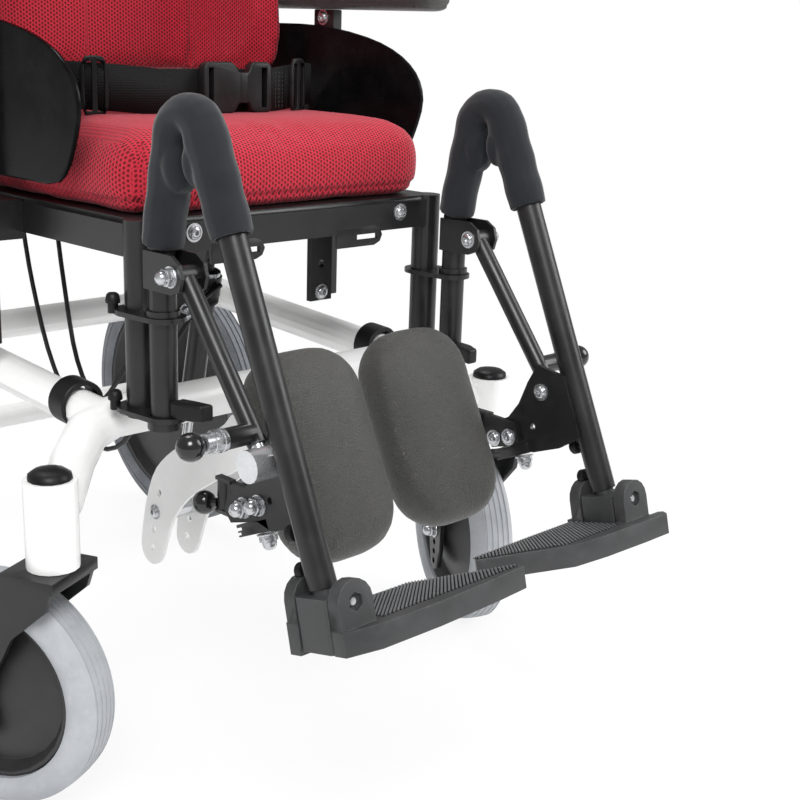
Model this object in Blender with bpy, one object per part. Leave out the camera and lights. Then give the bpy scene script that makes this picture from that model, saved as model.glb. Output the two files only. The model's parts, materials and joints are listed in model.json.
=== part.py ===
"""Positioning chair: white wheeled base, tilting black seat frame, reclining back,
two elevating leg rests with calf pads and flip-up footplates.
The chair faces -Y, +X is the occupant's left, z = 0 is the floor, sizes in metres."""
import math

import bmesh
import bpy
from mathutils import Matrix, Vector

for old in list(bpy.data.objects):
    bpy.data.objects.remove(old, do_unlink=True)

# Clearances shared by fitted pieces
TOUCH = 0.0003
SLIDE = 0.0005
PIN_PLAY = 0.0004

# The layout is measured backwards from the leg rest hanger, then moved to the middle of the chair
CENTRE_Y = 0.2176

# Wheels
CASTER_R = 0.100
CASTER_WIDTH = 0.045
CASTER_TRAIL = 0.055
CASTER_TURN = math.radians(25.0)
BARREL_X = 0.255
BARREL_Y = 0.025
BARREL_R = 0.021
BARREL_RISE = 0.086
BARREL_TOP = 2 * CASTER_R + BARREL_RISE
BARREL_LENGTH = 0.072
CASTER_STEM_R = 0.008
REAR_R = 0.160
REAR_WIDTH = 0.044
REAR_X = 0.222
REAR_Y = 0.523
AXLE_R = 0.008

# White base frame
BEAM_Y = 0.074
BEAM_Z = 0.308
BEAM_R = 0.018
SIDE_X = 0.176
SIDE_R = 0.0165
SIDE_RISE_Y = 0.440
SIDE_RISE_Z = 0.331
AXLE_TUBE_R = 0.0125
UPRIGHT_X = 0.125
UPRIGHT_T = 0.006
BRACKET_T = 0.004
BRACKET_GAP = 0.040

# Seat, tilting about the uprights of the base
TILT_Y = 0.360
TILT_Z = 0.415
TILT_PIN_R = 0.005
SEAT_RAIL_X = 0.160
SEAT_RAIL_W = 0.024
SEAT_RAIL_Z = 0.448
SEAT_RAIL_H = 0.026
SEAT_FRONT_Y = 0.025
SEAT_BACK_Y = 0.437
SEAT_BOARD_T = 0.004
CUSHION_HALF = 0.172
CUSHION_FRONT = 0.028
CUSHION_BACK = 0.356
CUSHION_H = 0.061
CUSHION_CORNER = 0.040
POST_X = 0.162
POST_Y = 0.035
POST_R = 0.013
POST_BOTTOM = 0.318
BELT_W = 0.040
BELT_T = 0.0025
BELT_Y = 0.150

# Arm rests
ARM_POST_Y = 0.220
ARM_POST_W = 0.030
ARM_POST_T = 0.012
ARM_PANEL_X = 0.187
ARM_PANEL_T = 0.005
ARM_TOP_Z = 0.645
ARM_PAD_W = 0.050
ARM_PAD_T = 0.028
ARM_PAD_FRONT = 0.060
ARM_PAD_BACK = 0.330
ARM_PAD_X = 0.200
ARM_POST_BOTTOM = 0.350
ARM_PANEL_DROP = 0.015

# Back
RECLINE_Y = 0.415
RECLINE_Z = 0.461
BACK_TUBE_X = 0.140
BACK_TUBE_Y = 0.452
BACK_TUBE_R = 0.0125
BACK_TOP = 1.000
HANDLE_BACK = 0.610
HANDLE_Z = 1.030
GRIP_R = 0.0165
GRIP_LENGTH = 0.105
SHELL_T = 0.008
HEAD_BAR_W = 0.024
HEAD_BAR_T = 0.008
HEAD_PAD_W = 0.220
HEAD_PAD_H = 0.120
HEAD_PAD_T = 0.058
HEAD_PAD_Z = 1.130

# Gas springs
TILT_TOP_Y = 0.159
TILT_TOP_Z = 0.420
TILT_EYE_Y = 0.217
TILT_EYE_Z = 0.148
GAS_R = 0.011
GAS_ROD_R = 0.005
RECLINE_GAS_X = 0.062
RECLINE_SEAT_Y = 0.205
RECLINE_SEAT_Z = 0.424
RECLINE_EYE_Z = 0.412
CABLE_R = 0.0025

# Leg rests
LEG_X = 0.1655
TUBE_R = 0.011
TUBE_WALL = 0.0018
HANGER_BOTTOM = 0.316
KNEE_Y = -0.0607
KNEE_Z = 0.5417
BEND_R = 0.020
BEND_RISE = 0.0102
HANGER_LEAN = math.radians(12.0)
LEG_LEAN = math.radians(23.6)
LEG_LENGTH = 0.327
FOAM_R = 0.017
FOAM_HANGER_END = 0.463
FOAM_LEG_END = 0.068
PLATE_T = 0.004
UPPER_PLATE_Z = 0.403
LOWER_PLATE_Z = 0.323
CLEVIS_Y = -0.0294
CLEVIS_Z = 0.4433
CLEVIS_T = 0.003
STRUT_R = 0.0078
STRUT_END_Y = -0.1260
STRUT_END_Z = 0.3190
STRUT_HEAD_ROOM = 0.0149
BOSS_BACK = 0.0095
BOSS_LENGTH = 0.037
KNOB_R = 0.0107
KNOB_STAND = 0.0015
CHROME_R = 0.0125
CHROME_LENGTH = 0.027
GUSSET_T = 0.004
PAD_W = 0.116
PAD_H = 0.180
PAD_T = 0.046
PAD_X = 0.0645
PAD_Y = -0.071
PAD_Z = 0.291
PAD_LEAN = math.radians(26.0)
CALF_HINGE_X = 0.1485
CALF_HINGE_Y = -0.0560
CALF_HINGE_Z = 0.272
CALF_HINGE_H = 0.024
CALF_KNUCKLE_R = 0.0062

# Footplates
FOOT_LEAN = math.radians(14.0)
FOOT_BLOCK_W = 0.034
FOOT_BLOCK_D = 0.036
FOOT_BLOCK_H = 0.046
FOOT_HINGE_UP = 0.013
EAR_T = 0.0117
FOOTPLATE_T = 0.018
FOOT_TUBE_LENGTH = 0.120
FOOT_SPLIT_X = 0.008
FOOT_SPLIT_GAP = 0.002
FOOT_PIN_R = 0.004

# Points worked out from the sizes above
SHIFT = Vector((0.0, -CENTRE_Y, 0.0))
SIN_LEAN = math.sin(LEG_LEAN)
COS_LEAN = math.cos(LEG_LEAN)
BEND_Y = KNEE_Y + SIN_LEAN * BEND_RISE + COS_LEAN * BEND_R
BEND_Z = KNEE_Z + COS_LEAN * BEND_RISE - SIN_LEAN * BEND_R
LEAN_TOP_Y = BEND_Y + BEND_R * math.cos(HANGER_LEAN)
LEAN_TOP_Z = BEND_Z + BEND_R * math.sin(HANGER_LEAN)
LEAN_FOOT_Z = LEAN_TOP_Z + LEAN_TOP_Y / math.tan(HANGER_LEAN)
BARREL_BOTTOM = BARREL_TOP - BARREL_LENGTH
SEAT_TOP = SEAT_RAIL_Z + SEAT_RAIL_H + SEAT_BOARD_T
STRUT_VECTOR = Vector((0.0, STRUT_END_Y - CLEVIS_Y, STRUT_END_Z - CLEVIS_Z))
STRUT_LENGTH = STRUT_VECTOR.length
STRUT_TUBE_LENGTH = STRUT_LENGTH - STRUT_HEAD_ROOM
BOSS_AT = STRUT_TUBE_LENGTH - BOSS_BACK
STRUT_DIR = STRUT_VECTOR.normalized()
FOOT_UP = Vector((0.0, math.sin(FOOT_LEAN), math.cos(FOOT_LEAN)))
FOOT_REAR = Vector((0.0, math.cos(FOOT_LEAN), -math.sin(FOOT_LEAN)))

SIDES = (("left", 1.0), ("right", -1.0))


def make_material(name, colour, roughness, metallic=0.0):
    material = bpy.data.materials.new(name)
    material.use_nodes = True
    shader = material.node_tree.nodes["Principled BSDF"]
    shader.inputs["Base Color"].default_value = (*colour, 1.0)
    shader.inputs["Roughness"].default_value = roughness
    shader.inputs["Metallic"].default_value = metallic
    material.diffuse_color = (*colour, 1.0)
    return material


WHITE = make_material("white_paint", (0.82, 0.81, 0.77), 0.35)
BLACK = make_material("black_paint", (0.025, 0.025, 0.028), 0.40)
CHROME = make_material("chrome", (0.80, 0.80, 0.80), 0.12, 1.0)
PLASTIC = make_material("black_plastic", (0.03, 0.03, 0.03), 0.45)
FOOT_PLASTIC = make_material("grey_plastic", (0.08, 0.08, 0.085), 0.55)
TYRE = make_material("grey_tyre", (0.48, 0.50, 0.52), 0.70)
DARK_TYRE = make_material("rear_tyre", (0.30, 0.31, 0.33), 0.70)
RED_MESH = make_material("red_mesh", (0.55, 0.02, 0.05), 0.85)
LEATHER = make_material("dark_leatherette", (0.07, 0.07, 0.07), 0.55)
FOAM = make_material("grey_foam", (0.045, 0.047, 0.055), 0.90)
WEBBING = make_material("black_webbing", (0.02, 0.02, 0.022), 0.85)


def loft(mesh, rings, closed=False):
    """Skin through rings of points; the ends are capped unless the rings close on themselves."""
    rows = [[mesh.verts.new(p) for p in ring] for ring in rings]
    count = len(rows[0])
    pairs = list(zip(rows, rows[1:]))
    if closed:
        pairs.append((rows[-1], rows[0]))
    for near, far in pairs:
        for i in range(count):
            j = (i + 1) % count
            mesh.faces.new((near[i], near[j], far[j], far[i]))
    if not closed:
        mesh.faces.new(list(reversed(rows[0])))
        mesh.faces.new(rows[-1])


def path_frames(points):
    """Directions and a pair of cross axes at every point of a path, carried along without twist."""
    points = [Vector(p) for p in points]
    frames = []
    last = len(points) - 1
    for i, point in enumerate(points):
        back = (point - points[i - 1]).normalized() if i > 0 else None
        ahead = (points[i + 1] - point).normalized() if i < last else None
        if back is None:
            along = ahead
        elif ahead is None:
            along = back
        else:
            along = (back + ahead).normalized()
        stretch = 1.0
        if back is not None and ahead is not None:
            stretch = 1.0 / max(0.5, along.dot(ahead))
        frames.append((point, along, stretch, back, ahead))
    first = frames[0][1]
    guide = Vector((1.0, 0.0, 0.0)) if abs(first.x) < 0.9 else Vector((0.0, 1.0, 0.0))
    result = []
    for point, along, stretch, back, ahead in frames:
        side = (guide - along * guide.dot(along)).normalized()
        guide = side
        result.append((point, along, side, along.cross(side), stretch, back, ahead))
    return result


def circle_rings(points, radius, sides):
    rings = []
    for point, along, side, other, stretch, back, ahead in path_frames(points):
        bend = None
        if back is not None and ahead is not None and (ahead - back).length > 1e-6:
            bend = (ahead - back).normalized()
        ring = []
        for k in range(sides):
            turn = 2.0 * math.pi * (k + 0.5) / sides
            offset = side * math.cos(turn) * radius + other * math.sin(turn) * radius
            if bend is not None:
                offset += bend * offset.dot(bend) * (stretch - 1.0)
            ring.append(point + offset)
        rings.append(ring)
    return rings


def add_tube(mesh, points, radius, sides=16):
    loft(mesh, circle_rings(points, radius, sides))


def add_sleeve(mesh, points, outer, inner, neck, sides=16):
    """Hollow tube along a path; its bore narrows to the neck radius at both ends."""
    outside = circle_rings(points, outer, sides)
    inside = circle_rings(points, inner, sides)
    narrow = circle_rings(points, neck, sides)
    inside[0] = narrow[0]
    inside[-1] = narrow[-1]
    loft(mesh, outside + list(reversed(inside)), closed=True)


def add_prism(mesh, outline, axis, start, end):
    """Flat outline drawn in the plane across an axis and pulled along that axis."""
    rings = []
    for level in (start, end):
        ring = []
        for a, b in outline:
            if axis == "x":
                ring.append(Vector((level, a, b)))
            elif axis == "y":
                ring.append(Vector((a, level, b)))
            else:
                ring.append(Vector((a, b, level)))
        rings.append(ring)
    loft(mesh, rings)


def add_box(mesh, low, high):
    outline = [(low[0], low[1]), (high[0], low[1]), (high[0], high[1]), (low[0], high[1])]
    add_prism(mesh, outline, "z", low[2], high[2])


def add_pin(mesh, centre, axis, start, end, radius, sides=16):
    """Cylinder along a main axis through a centre point."""
    step = {"x": Vector((1, 0, 0)), "y": Vector((0, 1, 0)), "z": Vector((0, 0, 1))}[axis]
    centre = Vector(centre)
    add_tube(mesh, [centre + step * start, centre + step * end], radius, sides)


def add_lathe(mesh, profile, sides, closed=True):
    """Turn a profile of (radius, along) pairs about the X axis; a closed profile makes a ring."""
    rings = []
    for radius, along in profile:
        ring = []
        for k in range(sides):
            turn = 2.0 * math.pi * k / sides
            ring.append(Vector((along, math.sin(turn) * radius, -math.cos(turn) * radius)))
        rings.append(ring)
    loft(mesh, rings, closed=closed)


def rounded_outline(width, height, radius, steps=5):
    """Rounded rectangle around the origin, going round once."""
    points = []
    corners = ((1, 1, 0), (-1, 1, 90), (-1, -1, 180), (1, -1, 270))
    for sx, sy, start in corners:
        for k in range(steps + 1):
            turn = math.radians(start + 90.0 * k / steps)
            x = sx * (width / 2 - radius) + radius * math.cos(turn)
            y = sy * (height / 2 - radius) + radius * math.sin(turn)
            points.append((x, y))
    return points


def eased(outline, limit=0.012):
    """Outline with every corner cut back a little way along both of its edges."""
    points = []
    for k, (y, z) in enumerate(outline):
        here = Vector((y, z))
        for other in (Vector(outline[k - 1]), Vector(outline[(k + 1) % len(outline)])):
            away = other - here
            step = min(0.25 * away.length, limit)
            spot = here + away.normalized() * step
            points.append((spot.x, spot.y))
    return points


def add_pad(mesh, width, height, corner, thickness, edge, place, steps=5, crown=0.0):
    """Soft block with rounded corners and rounded edges; local x wide, z tall, y through it."""
    rings = []
    for k in range(7):
        turn = math.pi * k / 6.0
        inset = edge * (1.0 - math.sin(turn))
        depth = (thickness / 2 - edge) * (1 if turn > math.pi / 2 else -1) - edge * math.cos(turn)
        if k == 3:
            depth = 0.0
        outline = rounded_outline(width - 2 * inset, height - 2 * inset, max(corner - inset, 0.004), steps)
        rings.append([place @ Vector((x, depth, z)) for x, z in outline])
    if crown:
        front = rings[0]
        middle = sum(front, Vector()) / len(front)
        lift = place.to_3x3() @ Vector((0.0, -crown, 0.0))
        dome = [middle + (p - middle) * 0.55 + lift for p in front]
        rings.insert(0, dome)
    loft(mesh, rings)


def new_mesh():
    return bmesh.new()


def to_object(name, mesh):
    bmesh.ops.recalc_face_normals(mesh, faces=mesh.faces[:])
    data = bpy.data.meshes.new(name)
    mesh.to_mesh(data)
    mesh.free()
    obj = bpy.data.objects.new(name, data)
    bpy.context.scene.collection.objects.link(obj)
    return obj


def combine(obj, mesh, operation):
    """Join a solid to an object, or cut it out, with an exact Boolean."""
    tool = to_object(obj.name + "_tool", mesh)
    tool.hide_render = True
    tool.display_type = "WIRE"
    step = obj.modifiers.new(operation.lower(), "BOOLEAN")
    step.solver = "EXACT"
    step.operation = operation
    step.object = tool
    bpy.context.view_layer.update()
    graph = bpy.context.evaluated_depsgraph_get()
    data = bpy.data.meshes.new_from_object(obj.evaluated_get(graph))
    obj.modifiers.clear()
    obj.data = data
    bpy.data.objects.remove(tool, do_unlink=True)


def join(obj, mesh):
    combine(obj, mesh, "UNION")


def cut(obj, mesh):
    combine(obj, mesh, "DIFFERENCE")


def finish(obj, material, pivot=(0.0, CENTRE_Y, 0.0)):
    """Give the object its material and put its origin on the given point of the layout."""
    pivot = Vector(pivot)
    obj.data.transform(Matrix.Translation(-pivot))
    obj.location = pivot + SHIFT
    obj.data.materials.clear()
    obj.data.materials.append(material)
    obj.data.polygons.foreach_set("use_smooth", [True] * len(obj.data.polygons))
    obj.data.set_sharp_from_angle(angle=math.radians(35.0))
    obj.data.update()
    return obj


def arc_points(centre, radius, start, end, steps, x):
    """Points of an arc in the YZ plane, angles in degrees from +Y towards +Z."""
    points = []
    for k in range(steps + 1):
        turn = math.radians(start + (end - start) * k / steps)
        points.append((x, centre[0] + radius * math.cos(turn), centre[1] + radius * math.sin(turn)))
    return points


def leg_point(x, along, off=0.0):
    """Point on the front leg tube, measured from the knee down, off = distance behind the axis."""
    y = KNEE_Y - SIN_LEAN * along + COS_LEAN * off
    z = KNEE_Z - COS_LEAN * along - SIN_LEAN * off
    return Vector((x, y, z))


def strut_point(x, along):
    return Vector((x, CLEVIS_Y, CLEVIS_Z)) + STRUT_DIR * along


# Base frame: front beam with caster barrels, side tubes with rear legs, cross tubes and uprights
def build_base():
    half_beam = [(BARREL_X - 0.012, BARREL_Y + 0.008, BARREL_TOP - 0.026),
                 (SIDE_X + 0.040, BEAM_Y - 0.018, BEAM_Z - 0.024),
                 (SIDE_X + 0.018, BEAM_Y - 0.005, BEAM_Z - 0.007),
                 (SIDE_X - 0.008, BEAM_Y, BEAM_Z)]
    beam_path = [(-x, y, z) for x, y, z in half_beam] + list(reversed(half_beam))
    mesh = new_mesh()
    add_tube(mesh, beam_path, BEAM_R, 16)
    base = to_object("base_frame", mesh)
    for name, side in SIDES:
        mesh = new_mesh()
        add_pin(mesh, (side * BARREL_X, BARREL_Y, 0), "z", BARREL_BOTTOM, BARREL_TOP, BARREL_R, 18)
        join(base, mesh)
        mesh = new_mesh()
        x = side * SIDE_X
        route = [(x, BEAM_Y, BEAM_Z), (x, SIDE_RISE_Y, SIDE_RISE_Z),
                 (x, SIDE_RISE_Y + 0.045, SIDE_RISE_Z - 0.010),
                 (x, REAR_Y - 0.010, SIDE_RISE_Z - 0.040), (x, REAR_Y, SIDE_RISE_Z - 0.080),
                 (x, REAR_Y, REAR_R - 0.022)]
        add_tube(mesh, route, SIDE_R, 16)
        join(base, mesh)
        mesh = new_mesh()
        add_pin(mesh, (0, REAR_Y, REAR_R), "x", x, side * (REAR_X + REAR_WIDTH / 2 - 0.006), AXLE_R)
        join(base, mesh)
    cross_z = SIDE_RISE_Z - 0.004
    mesh = new_mesh()
    add_pin(mesh, (0, TILT_Y + 0.008, cross_z), "x", -SIDE_X, SIDE_X, 0.0145, 14)
    join(base, mesh)
    mesh = new_mesh()
    add_pin(mesh, (0, REAR_Y, REAR_R + 0.020), "x", -SIDE_X, SIDE_X, AXLE_TUBE_R, 14)
    join(base, mesh)
    for name, side in SIDES:
        mesh = new_mesh()
        outline = [(TILT_Y - 0.014, cross_z - 0.006), (TILT_Y + 0.032, cross_z - 0.006),
                   (TILT_Y + 0.013, TILT_Z + 0.008), (TILT_Y + 0.005, TILT_Z + 0.013),
                   (TILT_Y - 0.005, TILT_Z + 0.013), (TILT_Y - 0.013, TILT_Z + 0.008)]
        inner = side * (UPRIGHT_X - UPRIGHT_T / 2)
        outer = side * (UPRIGHT_X + UPRIGHT_T / 2)
        add_prism(mesh, outline, "x", inner, outer)
        join(base, mesh)
        mesh = new_mesh()
        pin_end = side * (UPRIGHT_X + UPRIGHT_T / 2 + TOUCH + 0.0085)
        add_pin(mesh, (0, TILT_Y, TILT_Z), "x", inner, pin_end, TILT_PIN_R)
        join(base, mesh)
        mesh = new_mesh()
        bore = CASTER_STEM_R + SLIDE
        add_pin(mesh, (side * BARREL_X, BARREL_Y, 0), "z", BARREL_BOTTOM - 0.01, BARREL_TOP - 0.008, bore)
        cut(base, mesh)
    finish(base, WHITE)


# Black domed cap on top of a caster barrel
def build_barrel_cap(name, side):
    x = side * BARREL_X
    rings = []
    for radius, z in ((0.0175, 0.0), (0.0170, 0.004), (0.0125, 0.0072), (0.005, 0.0088)):
        level = BARREL_TOP + TOUCH + z
        rings.append(circle_rings([(x, BARREL_Y, level), (x, BARREL_Y, level + 1)], radius, 14)[0])
    mesh = new_mesh()
    loft(mesh, rings)
    finish(to_object("barrel_cap_" + name, mesh), PLASTIC)


# Pair of curved plates under the beam that hold the lower eye of the tilt gas spring
def build_front_brackets():
    outline = [(0.183, 0.226), (0.206, 0.209), (0.223, 0.191), (0.235, 0.164), (0.243, 0.135),
               (0.248, 0.108), (0.245, 0.096), (0.236, 0.089), (0.224, 0.089), (0.213, 0.097),
               (0.205, 0.117), (0.198, 0.136), (0.188, 0.153), (0.173, 0.171), (0.148, 0.191),
               (0.116, 0.211), (0.087, 0.227), (0.060, 0.262), (0.058, BEAM_Z - BEAM_R - 0.004),
               (0.092, BEAM_Z - BEAM_R - 0.006), (0.112, 0.262), (0.145, 0.246)]
    mesh = new_mesh()
    holes = new_mesh()
    for side in (1.0, -1.0):
        inner = side * BRACKET_GAP / 2
        outer = side * (BRACKET_GAP / 2 + BRACKET_T)
        add_prism(mesh, eased(outline), "x", inner, outer)
    for y, z in ((0.215, 0.170), (TILT_EYE_Y + 0.004, TILT_EYE_Z), (0.225, 0.128), (0.229, 0.108)):
        add_pin(holes, (0, y, z), "x", -0.04, 0.04, 0.0042, 8)
    saddle = new_mesh()
    reach = BRACKET_GAP / 2 + BRACKET_T
    lid = BEAM_Z - BEAM_R - 0.0065
    add_box(saddle, (-reach, 0.060, lid), (reach, 0.090, BEAM_Z - BEAM_R + 0.004))
    beam = new_mesh()
    add_pin(beam, (0, BEAM_Y, BEAM_Z), "x", -0.06, 0.06, BEAM_R + 2 * TOUCH, 20)
    brackets = to_object("front_brackets", mesh)
    cut(brackets, holes)
    join(brackets, saddle)
    cut(brackets, beam)
    finish(brackets, WHITE)


def caster_frame(side):
    turn = Matrix.Rotation(-side * CASTER_TURN, 4, "Z")
    return Matrix.Translation((side * BARREL_X, BARREL_Y, 0.0)) @ turn


# Caster fork with stem, crown and two bent legs, then its wheel
def build_caster(name, side):
    frame = caster_frame(side)
    leg_in = CASTER_WIDTH / 2 + 0.004
    leg_out = leg_in + 0.005
    crown_low = CASTER_R * 2 + 0.0035
    crown_high = BARREL_BOTTOM - 2 * TOUCH
    mesh = new_mesh()
    add_box(mesh, (-leg_out, -0.020, crown_low), (leg_out, 0.030, crown_high))
    fork = to_object("caster_fork_" + name, mesh)
    low = CASTER_R - 0.042
    outline = [(-0.020, crown_high - 0.001), (0.030, crown_high - 0.001), (0.060, CASTER_R + 0.072),
               (0.072, CASTER_R + 0.030), (0.068, CASTER_R - 0.020), (0.062, low),
               (0.054, low - 0.004), (0.046, low), (0.040, CASTER_R - 0.020),
               (0.038, CASTER_R + 0.025), (0.020, CASTER_R + 0.060), (-0.012, CASTER_R + 0.088)]
    for flank in (1.0, -1.0):
        mesh = new_mesh()
        add_prism(mesh, outline, "x", flank * leg_in, flank * leg_out)
        join(fork, mesh)
    mesh = new_mesh()
    add_pin(mesh, (0, 0, 0), "z", crown_high - 0.002, BARREL_TOP - 0.010, CASTER_STEM_R)
    join(fork, mesh)
    mesh = new_mesh()
    add_pin(mesh, (0, CASTER_TRAIL, CASTER_R), "x", -leg_out - 0.004, leg_out + 0.004, 0.0055, 14)
    join(fork, mesh)
    fork.data.transform(frame)
    finish(fork, BLACK, (side * BARREL_X, BARREL_Y, BARREL_BOTTOM))
    hub = frame @ Vector((0.0, CASTER_TRAIL, CASTER_R))
    turn = Matrix.Translation(hub) @ frame.to_3x3().to_4x4()
    half = CASTER_WIDTH / 2
    seat_r = CASTER_R - 0.026
    hub_end = half + 0.002
    rim_profile = [(0.0055 + PIN_PLAY, -hub_end), (0.014, -hub_end), (seat_r - 0.010, -0.006),
                   (seat_r - 0.004, -half + 0.006), (seat_r, -half + 0.006), (seat_r, half - 0.006),
                   (seat_r - 0.004, half - 0.006), (seat_r - 0.010, 0.006), (0.014, hub_end),
                   (0.0055 + PIN_PLAY, hub_end)]
    mesh = new_mesh()
    add_lathe(mesh, rim_profile, 24)
    rim = to_object("caster_rim_" + name, mesh)
    rim.data.transform(turn)
    finish(rim, PLASTIC, hub)
    tread = seat_r + TOUCH
    tyre_profile = [(tread, -half + 0.006), (tread + 0.008, -half), (CASTER_R - 0.008, -half + 0.004),
                    (CASTER_R, -0.008), (CASTER_R, 0.008), (CASTER_R - 0.008, half - 0.004),
                    (tread + 0.008, half), (tread, half - 0.006)]
    mesh = new_mesh()
    add_lathe(mesh, tyre_profile, 24)
    tyre = to_object("caster_tyre_" + name, mesh)
    tyre.data.transform(turn)
    finish(tyre, TYRE, hub)


# Rear wheel: ribbed rim on a bored hub and a tyre
def build_rear_wheel(name, side):
    hub = Vector((side * REAR_X, REAR_Y, REAR_R))
    half = REAR_WIDTH / 2
    seat_r = REAR_R - 0.034
    bore = AXLE_R + PIN_PLAY
    rim_profile = [(bore, -half), (0.020, -half), (seat_r - 0.014, -0.008), (seat_r - 0.006, -half + 0.004),
                   (seat_r, -half + 0.004), (seat_r, half - 0.004), (seat_r - 0.006, half - 0.004),
                   (seat_r - 0.014, 0.008), (0.020, half), (bore, half)]
    mesh = new_mesh()
    add_lathe(mesh, rim_profile, 28)
    rim = to_object("rear_rim_" + name, mesh)
    rim.data.transform(Matrix.Translation(hub))
    finish(rim, PLASTIC, hub)
    tread = seat_r + TOUCH
    tyre_profile = [(tread, -half + 0.006), (tread + 0.010, -half), (REAR_R - 0.010, -half + 0.004),
                    (REAR_R, -0.008), (REAR_R, 0.008), (REAR_R - 0.010, half - 0.004),
                    (tread + 0.010, half), (tread, half - 0.006)]
    mesh = new_mesh()
    add_lathe(mesh, tyre_profile, 28)
    tyre = to_object("rear_tyre_" + name, mesh)
    tyre.data.transform(Matrix.Translation(hub))
    finish(tyre, DARK_TYRE, hub)


# Oval plates welded to the posts, two on each side, that carry the leg rest hangers
def join_receiver_plates(seat):
    for name, side in SIDES:
        middle = side * (POST_X + LEG_X) / 2
        outline = []
        for k in range(9):
            turn = math.radians(180.0 * k / 8)
            outline.append((middle + 0.020 * math.cos(turn), POST_Y + 0.020 * math.sin(turn)))
        for k in range(9):
            turn = math.radians(180.0 + 180.0 * k / 8)
            outline.append((middle + 0.017 * math.cos(turn), 0.017 * math.sin(turn)))
        for level in (LOWER_PLATE_Z, UPPER_PLATE_Z):
            mesh = new_mesh()
            add_prism(mesh, outline, "z", level, level + PLATE_T)
            join(seat, mesh)


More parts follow.
